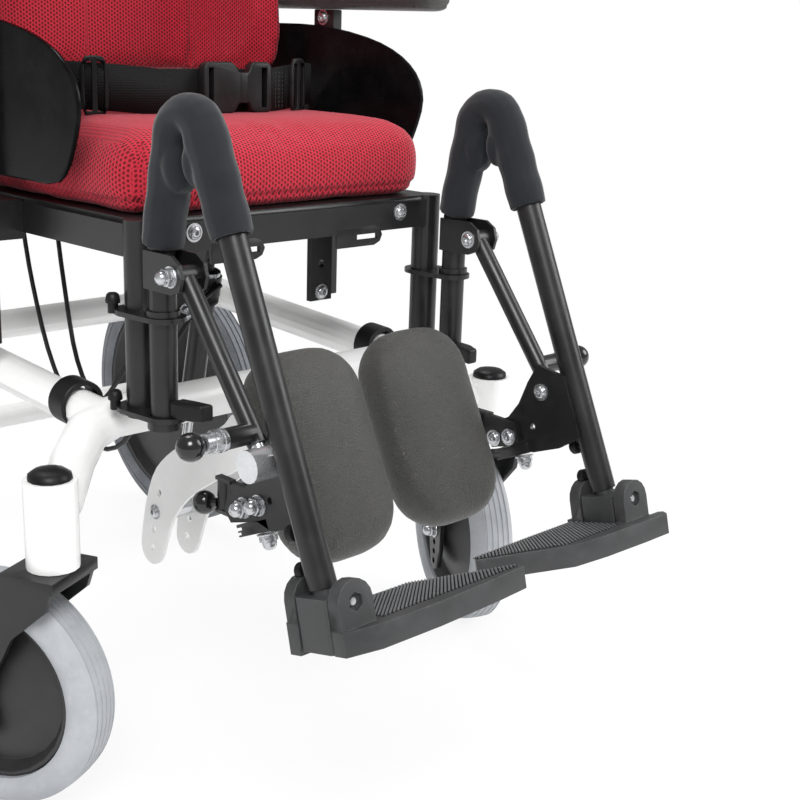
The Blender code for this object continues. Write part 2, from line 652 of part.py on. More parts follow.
# Seat frame: rails, board, posts for the leg rests, lugs for tilt and gas springs, arm sockets
def build_seat_frame():
    rail_top = SEAT_RAIL_Z + SEAT_RAIL_H
    rail_in = SEAT_RAIL_X - SEAT_RAIL_W / 2
    rail_out = SEAT_RAIL_X + SEAT_RAIL_W / 2
    mesh = new_mesh()
    board = (rail_out - 0.004, SEAT_BACK_Y - 0.045, SEAT_TOP)
    add_box(mesh, (-board[0], SEAT_FRONT_Y + 0.004, rail_top - 0.0005), board)
    seat = to_object("seat_frame", mesh)
    for name, side in SIDES:
        mesh = new_mesh()
        low = min(side * rail_in, side * rail_out)
        high = max(side * rail_in, side * rail_out)
        add_box(mesh, (low, SEAT_FRONT_Y + 0.002, SEAT_RAIL_Z), (high, SEAT_BACK_Y, rail_top))
        join(seat, mesh)
    inner_reach = rail_in + 0.004
    for start, depth in ((SEAT_FRONT_Y, 0.022), (TILT_TOP_Y - 0.011, 0.022),
                         (TILT_Y - 0.016, 0.032)):
        mesh = new_mesh()
        add_box(mesh, (-inner_reach, start, SEAT_RAIL_Z + 0.0015), (inner_reach, start + depth, rail_top))
        join(seat, mesh)
    socket_out = ARM_PANEL_X + ARM_PANEL_T + TOUCH + ARM_POST_T + 0.005
    for name, side in SIDES:
        mesh = new_mesh()
        add_pin(mesh, (side * POST_X, POST_Y, 0), "z", POST_BOTTOM, rail_top + 0.004, POST_R, 16)
        join(seat, mesh)
        mesh = new_mesh()
        lug_in = UPRIGHT_X + UPRIGHT_T / 2 + TOUCH
        outline = [(TILT_Y - 0.012, SEAT_RAIL_Z + 0.004), (TILT_Y + 0.012, SEAT_RAIL_Z + 0.004),
                   (TILT_Y + 0.012, TILT_Z), (TILT_Y + 0.006, TILT_Z - 0.011),
                   (TILT_Y - 0.006, TILT_Z - 0.011), (TILT_Y - 0.012, TILT_Z)]
        add_prism(mesh, outline, "x", side * lug_in, side * (lug_in + 0.005))
        join(seat, mesh)
        mesh = new_mesh()
        lug = GAS_R * 0.68 + SLIDE
        outline = [(TILT_TOP_Y - 0.010, SEAT_RAIL_Z + 0.004), (TILT_TOP_Y + 0.010, SEAT_RAIL_Z + 0.004),
                   (TILT_TOP_Y + 0.010, TILT_TOP_Z), (TILT_TOP_Y + 0.005, TILT_TOP_Z - 0.009),
                   (TILT_TOP_Y - 0.005, TILT_TOP_Z - 0.009), (TILT_TOP_Y - 0.010, TILT_TOP_Z)]
        add_prism(mesh, outline, "x", side * lug, side * (lug + 0.004))
        join(seat, mesh)
        mesh = new_mesh()
        stop = [(0.090, SEAT_RAIL_Z + 0.004), (0.096, SEAT_RAIL_Z + 0.004), (0.096, 0.376), (0.090, 0.376)]
        add_prism(mesh, stop, "x", side * 0.066, side * 0.092)
        shelf = [(0.090, SEAT_RAIL_Z), (0.150, SEAT_RAIL_Z), (0.150, SEAT_RAIL_Z + 0.004),
                 (0.090, SEAT_RAIL_Z + 0.004)]
        bar = new_mesh()
        add_prism(bar, shelf, "x", side * 0.066, side * 0.092)
        join(seat, bar)
        join(seat, mesh)
        mesh = new_mesh()
        low = min(side * (rail_out - 0.003), side * socket_out)
        high = max(side * (rail_out - 0.003), side * socket_out)
        front = ARM_POST_Y - ARM_POST_W / 2 - 0.006
        rear = ARM_POST_Y + ARM_POST_W / 2 + 0.006
        add_box(mesh, (low, front, SEAT_RAIL_Z - 0.006), (high, rear, rail_top + 0.002))
        join(seat, mesh)
    mesh = new_mesh()
    add_pin(mesh, (0, TILT_TOP_Y, TILT_TOP_Z), "x", -GAS_R - 0.001, GAS_R + 0.001, 0.004, 12)
    join(seat, mesh)
    mesh = new_mesh()
    for offset in (-0.0135, 0.0085):
        root = SEAT_RAIL_Z + 0.004
        outline = [(RECLINE_SEAT_Y - 0.009, root), (RECLINE_SEAT_Y + 0.009, root),
                   (RECLINE_SEAT_Y + 0.009, RECLINE_SEAT_Z), (RECLINE_SEAT_Y, RECLINE_SEAT_Z - 0.009),
                   (RECLINE_SEAT_Y - 0.009, RECLINE_SEAT_Z)]
        add_prism(mesh, outline, "x", RECLINE_GAS_X + offset, RECLINE_GAS_X + offset + 0.005)
    plate = new_mesh()
    add_box(plate, (RECLINE_GAS_X - 0.020, TILT_TOP_Y + 0.006, SEAT_RAIL_Z + 0.002),
            (RECLINE_GAS_X + 0.0205, RECLINE_SEAT_Y + 0.020, rail_top - 0.016))
    join(seat, plate)
    join(seat, mesh)
    mesh = new_mesh()
    add_pin(mesh, (0, RECLINE_SEAT_Y, RECLINE_SEAT_Z), "x", RECLINE_GAS_X - 0.013, RECLINE_GAS_X + 0.013,
            0.004, 12)
    join(seat, mesh)
    join_receiver_plates(seat)
    holes = new_mesh()
    for name, side in SIDES:
        inner = ARM_PANEL_X + ARM_PANEL_T + TOUCH - SLIDE
        outer = ARM_PANEL_X + ARM_PANEL_T + TOUCH + ARM_POST_T + SLIDE
        low = min(side * inner, side * outer)
        high = max(side * inner, side * outer)
        front = ARM_POST_Y - ARM_POST_W / 2 - SLIDE
        rear = ARM_POST_Y + ARM_POST_W / 2 + SLIDE
        add_box(holes, (low, front, 0.40), (high, rear, 0.52))
        add_pin(holes, (0, TILT_Y, TILT_Z), "x", side * (UPRIGHT_X + 0.0005), side * (UPRIGHT_X + 0.016),
                TILT_PIN_R + PIN_PLAY)
        add_pin(holes, (0, RECLINE_Y, RECLINE_Z), "x", side * (rail_in - 0.01), side * (rail_out + 0.01),
                0.005 + PIN_PLAY)
        add_pin(holes, (side * 0.079, 0, 0.411), "y", 0.08, 0.11, 0.004, 10)
        add_pin(holes, (side * LEG_X, 0, 0), "z", 0.30, 0.44, TUBE_R + 2 * SLIDE, 16)
    cut(seat, holes)
    finish(seat, BLACK, (0.0, TILT_Y, TILT_Z))


# Seat cushion with rounded corners and a crowned top
def build_seat_cushion():
    middle = (CUSHION_FRONT + CUSHION_BACK) / 2
    depth = CUSHION_BACK - CUSHION_FRONT
    bottom = SEAT_TOP + TOUCH
    levels = ((0.0, 0.010), (0.006, 0.003), (0.016, 0.0), (0.034, 0.0), (0.046, 0.003),
              (0.055, 0.010), (CUSHION_H, 0.024), (CUSHION_H + 0.005, 0.060), (CUSHION_H + 0.008, 0.110))
    rings = []
    for up, inset in levels:
        corner = max(CUSHION_CORNER - inset, 0.012)
        outline = rounded_outline(2 * (CUSHION_HALF - inset), depth - 2 * inset, corner, 5)
        rings.append([Vector((x, middle + y, bottom + up)) for x, y in outline])
    mesh = new_mesh()
    loft(mesh, rings)
    finish(to_object("seat_cushion", mesh), RED_MESH)


# Pelvic belt lying across the cushion, its ends running down to the rails, and the buckle
def build_belt():
    crown = SEAT_TOP + TOUCH + CUSHION_H + 0.0088
    out = CUSHION_HALF + 0.0045
    half = [(0.000, BELT_Y, 0.0), (0.062, BELT_Y, 0.0), (0.095, BELT_Y + 0.010, 0.003),
            (0.130, BELT_Y + 0.028, 0.005), (0.155, BELT_Y + 0.048, 0.003), (0.169, BELT_Y + 0.064, -0.005),
            (out, BELT_Y + 0.084, -0.034), (out, BELT_Y + 0.112, -0.060)]
    path = [(-x, y, z) for x, y, z in reversed(half[1:])] + half
    rings = []
    for i, (x, y, z) in enumerate(path):
        before = Vector(path[max(i - 1, 0)])
        after = Vector(path[min(i + 1, len(path) - 1)])
        along = after - before
        flat = Vector((along.x, along.y, 0.0)).normalized()
        across = Vector((-flat.y, flat.x, 0.0)) * BELT_T / 2
        low = Vector((x, y, crown + z))
        high = low + Vector((0.0, 0.0, BELT_W))
        rings.append([low - across, low + across, high + across, high - across])
    drop = crown - 0.050 - (SEAT_RAIL_Z + 0.004)
    for end in (0, -1):
        rings[end] = [p + Vector((0.0, 0.006, -drop * 0.9)) for p in rings[end]]
    mesh = new_mesh()
    loft(mesh, rings)
    finish(to_object("pelvic_belt", mesh), WEBBING)
    mesh = new_mesh()
    face = BELT_Y - BELT_T / 2 - TOUCH
    outline = rounded_outline(0.078, 0.046, 0.012, 3)
    centre = (0.018, crown + 0.0235)
    rings = []
    for y, shrink in ((face - 0.012, 0.86), (face - 0.009, 1.0), (face, 1.0)):
        rings.append([Vector((centre[0] + x * shrink, y, centre[1] + z * shrink)) for x, z in outline])
    loft(mesh, rings)
    finish(to_object("belt_buckle", mesh), PLASTIC)


# Arm rest: sliding post, side panel and pad
def build_arm(name, side):
    post_in = ARM_PANEL_X + ARM_PANEL_T + TOUCH
    post_out = post_in + ARM_POST_T
    pivot = (side * (post_in + ARM_POST_T / 2), ARM_POST_Y, SEAT_RAIL_Z)
    mesh = new_mesh()
    low = min(side * post_in, side * post_out)
    high = max(side * post_in, side * post_out)
    post_half = ARM_POST_W / 2
    add_box(mesh, (low, ARM_POST_Y - post_half, ARM_POST_BOTTOM),
            (high, ARM_POST_Y + post_half, ARM_TOP_Z - TOUCH))
    finish(to_object("arm_post_" + name, mesh), BLACK, pivot)
    crest = ARM_TOP_Z - ARM_PANEL_DROP
    nose = ARM_PAD_FRONT + 0.011
    tail = ARM_PAD_BACK - 0.030
    outline = [(tail, crest - 0.132), (nose + 0.039, crest - 0.132), (nose + 0.021, crest - 0.120),
               (nose + 0.009, crest - 0.098), (nose, crest - 0.072), (nose + 0.003, crest - 0.054),
               (nose + 0.015, crest - 0.038), (nose + 0.037, crest - 0.024), (nose + 0.069, crest - 0.013),
               (nose + 0.119, crest - 0.004), (nose + 0.169, crest), (tail, crest)]
    mesh = new_mesh()
    add_prism(mesh, eased(outline), "x", side * ARM_PANEL_X, side * (ARM_PANEL_X + ARM_PANEL_T))
    finish(to_object("side_panel_" + name, mesh), PLASTIC, pivot)
    length = ARM_PAD_BACK - ARM_PAD_FRONT
    middle = (ARM_PAD_FRONT + ARM_PAD_BACK) / 2
    place = Matrix.Translation((side * ARM_PAD_X, middle, ARM_TOP_Z + ARM_PAD_T / 2))
    place = place @ Matrix.Rotation(math.radians(-90), 4, "X")
    mesh = new_mesh()
    add_pad(mesh, ARM_PAD_W, length, 0.018, ARM_PAD_T, 0.009, place, 4)
    finish(to_object("arm_pad_" + name, mesh), LEATHER, pivot)


# Back frame: lugs on the seat rails, tubes with push handles, shell and head bar holder
def build_back():
    mesh = new_mesh()
    add_box(mesh, (-BACK_TUBE_X - 0.006, BACK_TUBE_Y - 0.018, 0.585),
            (BACK_TUBE_X + 0.006, BACK_TUBE_Y - 0.018 + SHELL_T, BACK_TOP - 0.010))
    back = to_object("back_frame", mesh)
    rail_in = SEAT_RAIL_X - SEAT_RAIL_W / 2
    for name, side in SIDES:
        x = side * BACK_TUBE_X
        mesh = new_mesh()
        route = [(x, BACK_TUBE_Y, 0.428), (x, BACK_TUBE_Y, BACK_TOP - 0.010),
                 (x, BACK_TUBE_Y + 0.010, HANDLE_Z - 0.012), (x, BACK_TUBE_Y + 0.032, HANDLE_Z),
                 (x, HANDLE_BACK, HANDLE_Z)]
        add_tube(mesh, route, BACK_TUBE_R, 14)
        join(back, mesh)
        mesh = new_mesh()
        outline = [(RECLINE_Y - 0.012, RECLINE_Z - 0.010), (BACK_TUBE_Y + 0.004, RECLINE_Z - 0.014),
                   (BACK_TUBE_Y + 0.004, RECLINE_Z + 0.060), (BACK_TUBE_Y - 0.006, RECLINE_Z + 0.060),
                   (RECLINE_Y - 0.008, RECLINE_Z + 0.010), (RECLINE_Y - 0.013, RECLINE_Z + 0.004)]
        add_prism(mesh, outline, "x", side * (rail_in - TOUCH - 0.007), side * (rail_in - TOUCH))
        join(back, mesh)
        mesh = new_mesh()
        add_pin(mesh, (0, RECLINE_Y, RECLINE_Z), "x", side * (rail_in - TOUCH - 0.005),
                side * (rail_in + SEAT_RAIL_W - 0.004), 0.005)
        join(back, mesh)
    mesh = new_mesh()
    add_pin(mesh, (0, BACK_TUBE_Y, 0.436), "x", -BACK_TUBE_X, BACK_TUBE_X, 0.007, 14)
    join(back, mesh)
    mesh = new_mesh()
    root = RECLINE_EYE_Z + 0.026
    outline = [(BACK_TUBE_Y - 0.009, root), (BACK_TUBE_Y + 0.009, root),
               (BACK_TUBE_Y + 0.009, RECLINE_EYE_Z), (BACK_TUBE_Y, RECLINE_EYE_Z - 0.009),
               (BACK_TUBE_Y - 0.009, RECLINE_EYE_Z)]
    add_prism(mesh, outline, "x", RECLINE_GAS_X - 0.0135, RECLINE_GAS_X - 0.0085)
    join(back, mesh)
    mesh = new_mesh()
    holder = HEAD_BAR_W / 2 + 0.010
    face = BACK_TUBE_Y - 0.018 + SHELL_T
    add_box(mesh, (-holder, face - 0.001, 0.925), (holder, face + HEAD_BAR_T + 0.007, 0.968))
    join(back, mesh)
    slot = new_mesh()
    slot_half = HEAD_BAR_W / 2 + SLIDE
    add_box(slot, (-slot_half, face + 0.0015, 0.90), (slot_half, face + 0.0025 + HEAD_BAR_T, 1.0))
    cut(back, slot)
    finish(back, BLACK, (0.0, RECLINE_Y, RECLINE_Z))


# Rubber grip pushed on a handle: a cup closed at its rear end
def build_grip(name, side):
    x = side * BACK_TUBE_X
    end = HANDLE_BACK + 0.006
    start = end - GRIP_LENGTH
    bore = BACK_TUBE_R + TOUCH
    inside = circle_rings([(x, HANDLE_BACK + TOUCH, HANDLE_Z), (x, start, HANDLE_Z)], bore, 14)
    outside = circle_rings([(x, start, HANDLE_Z), (x, end - 0.004, HANDLE_Z)], GRIP_R, 14)
    tip = circle_rings([(x, end, HANDLE_Z), (x, end + 1, HANDLE_Z)], GRIP_R - 0.004, 14)[:1]
    flipped = [list(reversed(ring[7:])) + list(reversed(ring[:7])) for ring in inside]
    mesh = new_mesh()
    loft(mesh, flipped + outside + tip)
    finish(to_object("handle_grip_" + name, mesh), PLASTIC, (0.0, RECLINE_Y, RECLINE_Z))


# Back cushion: flat middle and two wings reaching forward
def build_back_cushion():
    rear = BACK_TUBE_Y - 0.018 - TOUCH
    half_front = [(0.000, 0.364), (0.095, 0.362), (0.124, 0.352), (0.140, 0.318), (0.148, 0.280),
                  (0.156, 0.258), (0.165, 0.252), (0.172, 0.262), (0.172, 0.300), (0.170, 0.350),
                  (0.164, 0.392), (0.150, rear - 0.004), (0.120, rear), (0.000, rear)]
    section = half_front + [(-x, y) for x, y in reversed(half_front[1:-1])]
    middle_y = 0.385
    levels = ((0.572, 0.80), (0.578, 0.90), (0.590, 0.97), (0.612, 1.0), (0.800, 1.0), (0.930, 0.995),
              (0.968, 0.97), (0.986, 0.92), (0.994, 0.82))
    rings = []
    for z, scale in levels:
        ring = []
        for x, y in section:
            wide = 1.0 - (1.0 - scale) * 0.35
            reach = y
            if y < rear - 0.006:
                reach = middle_y + (y - middle_y) * scale
            ring.append(Vector((x * wide, min(reach, rear), z)))
        rings.append(ring)
    mesh = new_mesh()
    loft(mesh, rings)
    finish(to_object("back_cushion", mesh), RED_MESH, (0.0, RECLINE_Y, RECLINE_Z))


# Release levers under the push handles
def build_release_lever(name, side):
    x = side * BACK_TUBE_X
    pivot = (x, HANDLE_BACK - 0.118, HANDLE_Z - 0.020)
    under = HANDLE_Z - GRIP_R
    seat = HANDLE_Z - BACK_TUBE_R - SLIDE
    outline = [(pivot[1] - 0.005, seat), (pivot[1], seat), (pivot[1] + 0.010, pivot[2] + 0.002),
               (HANDLE_BACK - 0.020, under - 0.026), (HANDLE_BACK - 0.012, under - 0.032),
               (HANDLE_BACK - 0.030, under - 0.034), (pivot[1] + 0.012, pivot[2] - 0.008),
               (pivot[1] - 0.005, pivot[2] - 0.007)]
    mesh = new_mesh()
    add_prism(mesh, outline, "x", x - 0.006, x + 0.006)
    finish(to_object("release_lever_" + name, mesh), PLASTIC, pivot)


# Head rest on a sliding bar
def build_head_rest():
    face = BACK_TUBE_Y - 0.018 + SHELL_T
    bar_front = face + 0.002
    pivot = (0.0, bar_front, 0.946)
    mesh = new_mesh()
    bar_half = HEAD_BAR_W / 2
    add_box(mesh, (-bar_half, bar_front, 0.840), (bar_half, bar_front + HEAD_BAR_T, HEAD_PAD_Z + 0.030))
    finish(to_object("head_bar", mesh), BLACK, pivot)
    place = Matrix.Translation((0.0, bar_front - TOUCH - HEAD_PAD_T / 2, HEAD_PAD_Z))
    mesh = new_mesh()
    add_pad(mesh, HEAD_PAD_W, HEAD_PAD_H, 0.050, HEAD_PAD_T, 0.022, place, 4)
    finish(to_object("head_pad", mesh), RED_MESH, pivot)


# Gas springs: a cylinder hung from the seat and a rod sliding in it
def build_gas_spring(name, x, top, eye, body_length, eye_half):
    top = Vector((x, *top))
    eye = Vector((x, *eye))
    way = (eye - top).normalized()
    bore = GAS_ROD_R + SLIDE
    mesh = new_mesh()
    add_tube(mesh, [top + way * 0.004, top + way * 0.026], 0.0058, 12)
    cylinder = to_object(name + "_cylinder", mesh)
    mesh = new_mesh()
    add_pin(mesh, (x, top.y, top.z), "x", -GAS_R * 0.68, GAS_R * 0.68, 0.0085, 16)
    join(cylinder, mesh)
    mesh = new_mesh()
    add_tube(mesh, [top + way * 0.022, top + way * 0.042], GAS_R * 1.3, 14)
    join(cylinder, mesh)
    mesh = new_mesh()
    add_tube(mesh, [top + way * 0.040, top + way * body_length], GAS_R, 14)
    join(cylinder, mesh)
    mesh = new_mesh()
    add_tube(mesh, [top + way * 0.046, top + way * (body_length + 0.01)], bore, 10)
    cut(cylinder, mesh)
    mesh = new_mesh()
    add_pin(mesh, (x, top.y, top.z), "x", -0.02, 0.02, 0.004 + PIN_PLAY, 12)
    cut(cylinder, mesh)
    finish(cylinder, BLACK, top)
    length = (eye - top).length
    mesh = new_mesh()
    start = 0.050 if name == "tilt_gas" else 0.098
    add_tube(mesh, [top + way * start, top + way * (length - 0.004)], GAS_ROD_R, 10)
    rod = to_object(name + "_rod", mesh)
    mesh = new_mesh()
    add_pin(mesh, (x, eye.y, eye.z), "x", -eye_half, eye_half, 0.0095, 16)
    join(rod, mesh)
    finish(rod, CHROME, eye)


# Leg rest, upper part: hanger with knee eye and clevis, and the foam sleeve over the knee
def build_hanger(name, side):
    x = side * LEG_X
    pivot = (x, 0.0, LOWER_PLATE_Z)
    centre = (BEND_Y, BEND_Z)
    lean = math.degrees(LEG_LEAN)
    start = math.degrees(HANGER_LEAN)
    stop = 180.0 - lean - 9.0
    route = [(x, 0.0, HANGER_BOTTOM), (x, 0.0, LEAN_FOOT_Z)]
    route += arc_points(centre, BEND_R, start, stop, 6, x)
    mesh = new_mesh()
    add_tube(mesh, route, TUBE_R, 16)
    hanger = to_object("hanger_" + name, mesh)
    eye_half = 0.0045
    knee = Vector((x, KNEE_Y, KNEE_Z))
    mesh = new_mesh()
    add_pin(mesh, knee, "x", -eye_half, eye_half, 0.0100, 18)
    join(hanger, mesh)
    mesh = new_mesh()
    root = Vector(arc_points(centre, BEND_R, stop - 14.0, stop - 14.0, 1, x)[0])
    cross = Vector((0.0, COS_LEAN, -SIN_LEAN)) * 0.008
    tongue = [root - cross, root + cross, knee + cross, knee - cross]
    rings = [[p + Vector((shift, 0, 0)) for p in tongue] for shift in (-eye_half, eye_half)]
    loft(mesh, rings)
    join(hanger, mesh)
    plate_in = TUBE_R - 0.001
    for flank in (1.0, -1.0):
        mesh = new_mesh()
        outline = [(0.007, CLEVIS_Z - 0.014), (0.007, CLEVIS_Z + 0.016), (CLEVIS_Y, CLEVIS_Z + 0.016),
                   (CLEVIS_Y - 0.010, CLEVIS_Z + 0.010), (CLEVIS_Y - 0.013, CLEVIS_Z),
                   (CLEVIS_Y - 0.010, CLEVIS_Z - 0.010), (CLEVIS_Y, CLEVIS_Z - 0.014)]
        add_prism(mesh, outline, "x", x + flank * plate_in, x + flank * (plate_in + CLEVIS_T))
        join(hanger, mesh)
    mesh = new_mesh()
    add_pin(mesh, (x, CLEVIS_Y, CLEVIS_Z), "x", -plate_in - 0.001, plate_in + 0.001, 0.004, 12)
    join(hanger, mesh)
    collar = UPPER_PLATE_Z + PLATE_T
    for low, high in ((HANGER_BOTTOM, LOWER_PLATE_Z - TOUCH), (collar + TOUCH, collar + 0.005)):
        mesh = new_mesh()
        add_pin(mesh, (x, 0, 0), "z", low, high, TUBE_R + 0.0025, 16)
        join(hanger, mesh)
    mesh = new_mesh()
    add_pin(mesh, knee, "x", -0.02, 0.02, 0.0037 + PIN_PLAY, 12)
    cut(hanger, mesh)
    finish(hanger, BLACK, pivot)
    low_y = (LEAN_FOOT_Z - FOAM_HANGER_END) * math.tan(HANGER_LEAN)
    foam_route = [(x, low_y, FOAM_HANGER_END)]
    foam_route += arc_points(centre, BEND_R, start, 180.0 - lean, 8, x)
    foam_route.append(leg_point(x, FOAM_LEG_END))
    mesh = new_mesh()
    add_sleeve(mesh, foam_route, FOAM_R, TUBE_R + 0.0029, TUBE_R + 0.0008, 12)
    finish(to_object("knee_foam_" + name, mesh), FOAM, pivot)


# Leg rest, front tube with cheeks at the knee and the gusset for strut and calf arm
def build_leg(name, side):
    x = side * LEG_X
    knee = Vector((x, KNEE_Y, KNEE_Z))
    mesh = new_mesh()
    add_tube(mesh, [leg_point(x, 0.0145), leg_point(x, LEG_LENGTH)], TUBE_R, 18)
    leg = to_object("leg_tube_" + name, mesh)
    cheek_in = 0.0045 + TOUCH
    cheek_out = 0.0092
    for flank in (1.0, -1.0):
        mesh = new_mesh()
        add_pin(mesh, knee, "x", flank * cheek_in, flank * cheek_out, 0.0088, 16)
        join(leg, mesh)
        mesh = new_mesh()
        quad = [leg_point(x, -0.001, -0.0062), leg_point(x, -0.001, 0.0062), leg_point(x, 0.020, 0.0062),
                leg_point(x, 0.020, -0.0062)]
        rings = [[p + Vector((flank * shift, 0, 0)) for p in quad] for shift in (cheek_in + 0.0002, 0.0088)]
        loft(mesh, rings)
        join(leg, mesh)
    mesh = new_mesh()
    add_pin(mesh, knee, "x", -cheek_out + 0.001, cheek_out - 0.001, 0.0037, 12)
    join(leg, mesh)
    gusset = [(-0.120, 0.343), (-0.150, 0.338), (-0.172, 0.287), (-0.150, 0.272), (-0.121, 0.261),
              (-0.105, 0.264), (-0.072, 0.254), (-0.064, 0.262), (-0.068, 0.276), (-0.090, 0.288),
              (-0.101, 0.303), (-0.110, 0.325)]
    near = LEG_X - TUBE_R + 0.001
    mesh = new_mesh()
    add_prism(mesh, gusset, "x", side * (near - GUSSET_T), side * near)
    join(leg, mesh)
    inner = near - GUSSET_T - 0.0035
    rear = CALF_HINGE_Y - CALF_KNUCKLE_R - 0.001
    top = CALF_HINGE_Z + CALF_HINGE_H / 2
    low = CALF_HINGE_Z - CALF_HINGE_H / 2
    extension = [(-0.106, 0.268), (-0.075, low - 0.002), (rear, low - 0.002), (rear, top + 0.002),
                 (-0.100, top + 0.001)]
    mesh = new_mesh()
    add_prism(mesh, extension, "x", side * inner, side * (near - GUSSET_T + 0.001))
    join(leg, mesh)
    ear = [(side * inner, rear - 0.006), (side * (near - 0.001), rear - 0.006),
           (side * (near - 0.001), CALF_HINGE_Y + 0.005), (side * inner, CALF_HINGE_Y + 0.005)]
    for level in (top, low - 0.003):
        mesh = new_mesh()
        add_prism(mesh, ear, "z", level, level + 0.003)
        join(leg, mesh)
    holes = new_mesh()
    add_tube(holes, [leg_point(x, 0.060), leg_point(x, LEG_LENGTH + 0.01)], TUBE_R - TUBE_WALL, 18)
    add_pin(holes, (side * near, -0.119, 0.285), "x", -0.006, 0.003, 0.003, 10)
    cut(leg, holes)
    finish(leg, BLACK, knee)


# Strut: outer tube with lock boss, inner rod with the chrome head, and the pull knob
def build_strut(name, side):
    x = side * LEG_X
    pivot = Vector((x, CLEVIS_Y, CLEVIS_Z))
    bore = TUBE_R / 2 + 0.0002
    mesh = new_mesh()
    add_tube(mesh, [strut_point(x, 0.004), strut_point(x, STRUT_TUBE_LENGTH)], STRUT_R, 16)
    tube = to_object("strut_tube_" + name, mesh)
    mesh = new_mesh()
    sleeve = TUBE_R - 0.001 - TOUCH
    add_pin(mesh, pivot, "x", -sleeve, sleeve, 0.0082, 16)
    join(tube, mesh)
    boss = strut_point(x, BOSS_AT)
    boss_end = STRUT_R + BOSS_LENGTH
    mesh = new_mesh()
    add_pin(mesh, boss, "x", 0.0, side * (boss_end - 0.017), 0.0082, 16)
    join(tube, mesh)
    mesh = new_mesh()
    add_pin(mesh, boss, "x", side * (boss_end - 0.018), side * boss_end, 0.0070, 6)
    join(tube, mesh)
    holes = new_mesh()
    add_tube(holes, [strut_point(x, 0.010), strut_point(x, STRUT_TUBE_LENGTH + 0.01)], bore, 16)
    cut(tube, holes)
    holes = new_mesh()
    add_pin(holes, pivot, "x", -0.02, 0.02, 0.004 + PIN_PLAY, 12)
    add_pin(holes, boss, "x", side * (STRUT_R + 0.002), side * (boss_end + 0.01), 0.0030 + SLIDE, 12)
    cut(tube, holes)
    finish(tube, BLACK, pivot)
    mesh = new_mesh()
    add_tube(mesh, [strut_point(x, 0.0125), strut_point(x, STRUT_LENGTH - 0.002)], bore - SLIDE, 14)
    rod = to_object("strut_rod_" + name, mesh)
    head = strut_point(x, STRUT_LENGTH)
    inner = LEG_X - TUBE_R + 0.001 + TOUCH
    mesh = new_mesh()
    add_pin(mesh, (0, head.y, head.z), "x", side * inner, side * (inner + CHROME_LENGTH), CHROME_R, 18)
    join(rod, mesh)
    finish(rod, CHROME, head)
    mesh = new_mesh()
    ball = boss + Vector((side * (boss_end + KNOB_STAND + KNOB_R), 0, 0))
    rings = []
    for k in range(1, 7):
        turn = math.pi * k / 7
        level = -math.cos(turn) * KNOB_R
        radius = math.sin(turn) * KNOB_R
        centre = ball + Vector((side * level, 0, 0))
        rings.append(circle_rings([centre, centre + Vector((side, 0, 0))], radius, 12)[0])
    loft(mesh, rings)
    knob = to_object("lock_knob_" + name, mesh)
    mesh = new_mesh()
    add_pin(mesh, boss, "x", side * (STRUT_R + 0.004), side * (boss_end + KNOB_R), 0.0030, 12)
    join(knob, mesh)
    finish(knob, PLASTIC, ball)


# Swing release catch in front of the hanger, just above the lower plate
def build_catch(name, side):
    x = side * LEG_X
    base = LOWER_PLATE_Z + PLATE_T + SLIDE
    front = -TUBE_R - SLIDE
    pivot = (x - side * 0.004, front - 0.0065, base + 0.007)
    outline = [(x - side * 0.010, front), (x + side * 0.004, front), (x + side * 0.002, front - 0.0145),
               (x - side * 0.006, front - 0.0295), (x - side * 0.018, front - 0.0295),
               (x - side * 0.014, front - 0.0125)]
    mesh = new_mesh()
    add_prism(mesh, outline, "z", base, base + 0.014)
    finish(to_object("catch_" + name, mesh), PLASTIC, pivot)


# Calf pad, leaning forward at the bottom, and the arm that joins its back to the gusset
def build_calf(name, side):
    place = Matrix.Translation((side * PAD_X, PAD_Y, PAD_Z)) @ Matrix.Rotation(-PAD_LEAN, 4, "X")
    mesh = new_mesh()
    add_pad(mesh, PAD_W, PAD_H, PAD_W * 0.37, PAD_T, 0.019, place, 4, 0.004)
    hinge = Vector((side * CALF_HINGE_X, CALF_HINGE_Y, CALF_HINGE_Z))
    finish(to_object("calf_pad_" + name, mesh), LEATHER, hinge)
    mesh = new_mesh()
    knuckle = CALF_HINGE_H / 2 - SLIDE
    add_pin(mesh, hinge, "z", -knuckle, knuckle, CALF_KNUCKLE_R, 14)
    arm = to_object("calf_arm_" + name, mesh)
    back = place @ Vector((0.0, PAD_T / 2 + 0.0006, -0.026))
    rise = place.to_3x3() @ Vector((0.0, 0.0, 1.0))
    out = place.to_3x3() @ Vector((0.0, 1.0, 0.0))
    wide = place.to_3x3() @ Vector((1.0, 0.0, 0.0))
    reach = back + out * 0.0075
    start = hinge.copy()
    elbow = Vector((side * (CALF_HINGE_X - 0.021), CALF_HINGE_Y + 0.010, CALF_HINGE_Z - 0.004))
    corner = Vector((side * (PAD_X + 0.036), reach.y + 0.0075, reach.z + 0.004))
    mesh = new_mesh()
    add_tube(mesh, [start, elbow, corner, reach], 0.0065, 14)
    join(arm, mesh)
    mesh = new_mesh()
    spots = ((-1, -1), (1, -1), (1, 1), (-1, 1))
    rings = []
    for depth in (0.0, 0.004):
        rings.append([back + wide * 0.020 * a + rise * 0.030 * b + out * depth for a, b in spots])
    loft(mesh, rings)
    join(arm, mesh)
    finish(arm, BLACK, hinge)


def foot_place(side):
    """Frame of the footplate block: origin in the block, y to the rear along the plate, z up the block."""
    bottom = leg_point(side * LEG_X, LEG_LENGTH + FOOT_BLOCK_H / 2 - 0.002)
    turn = Matrix.Rotation(-FOOT_LEAN, 4, "X")
    return Matrix.Translation(bottom) @ turn


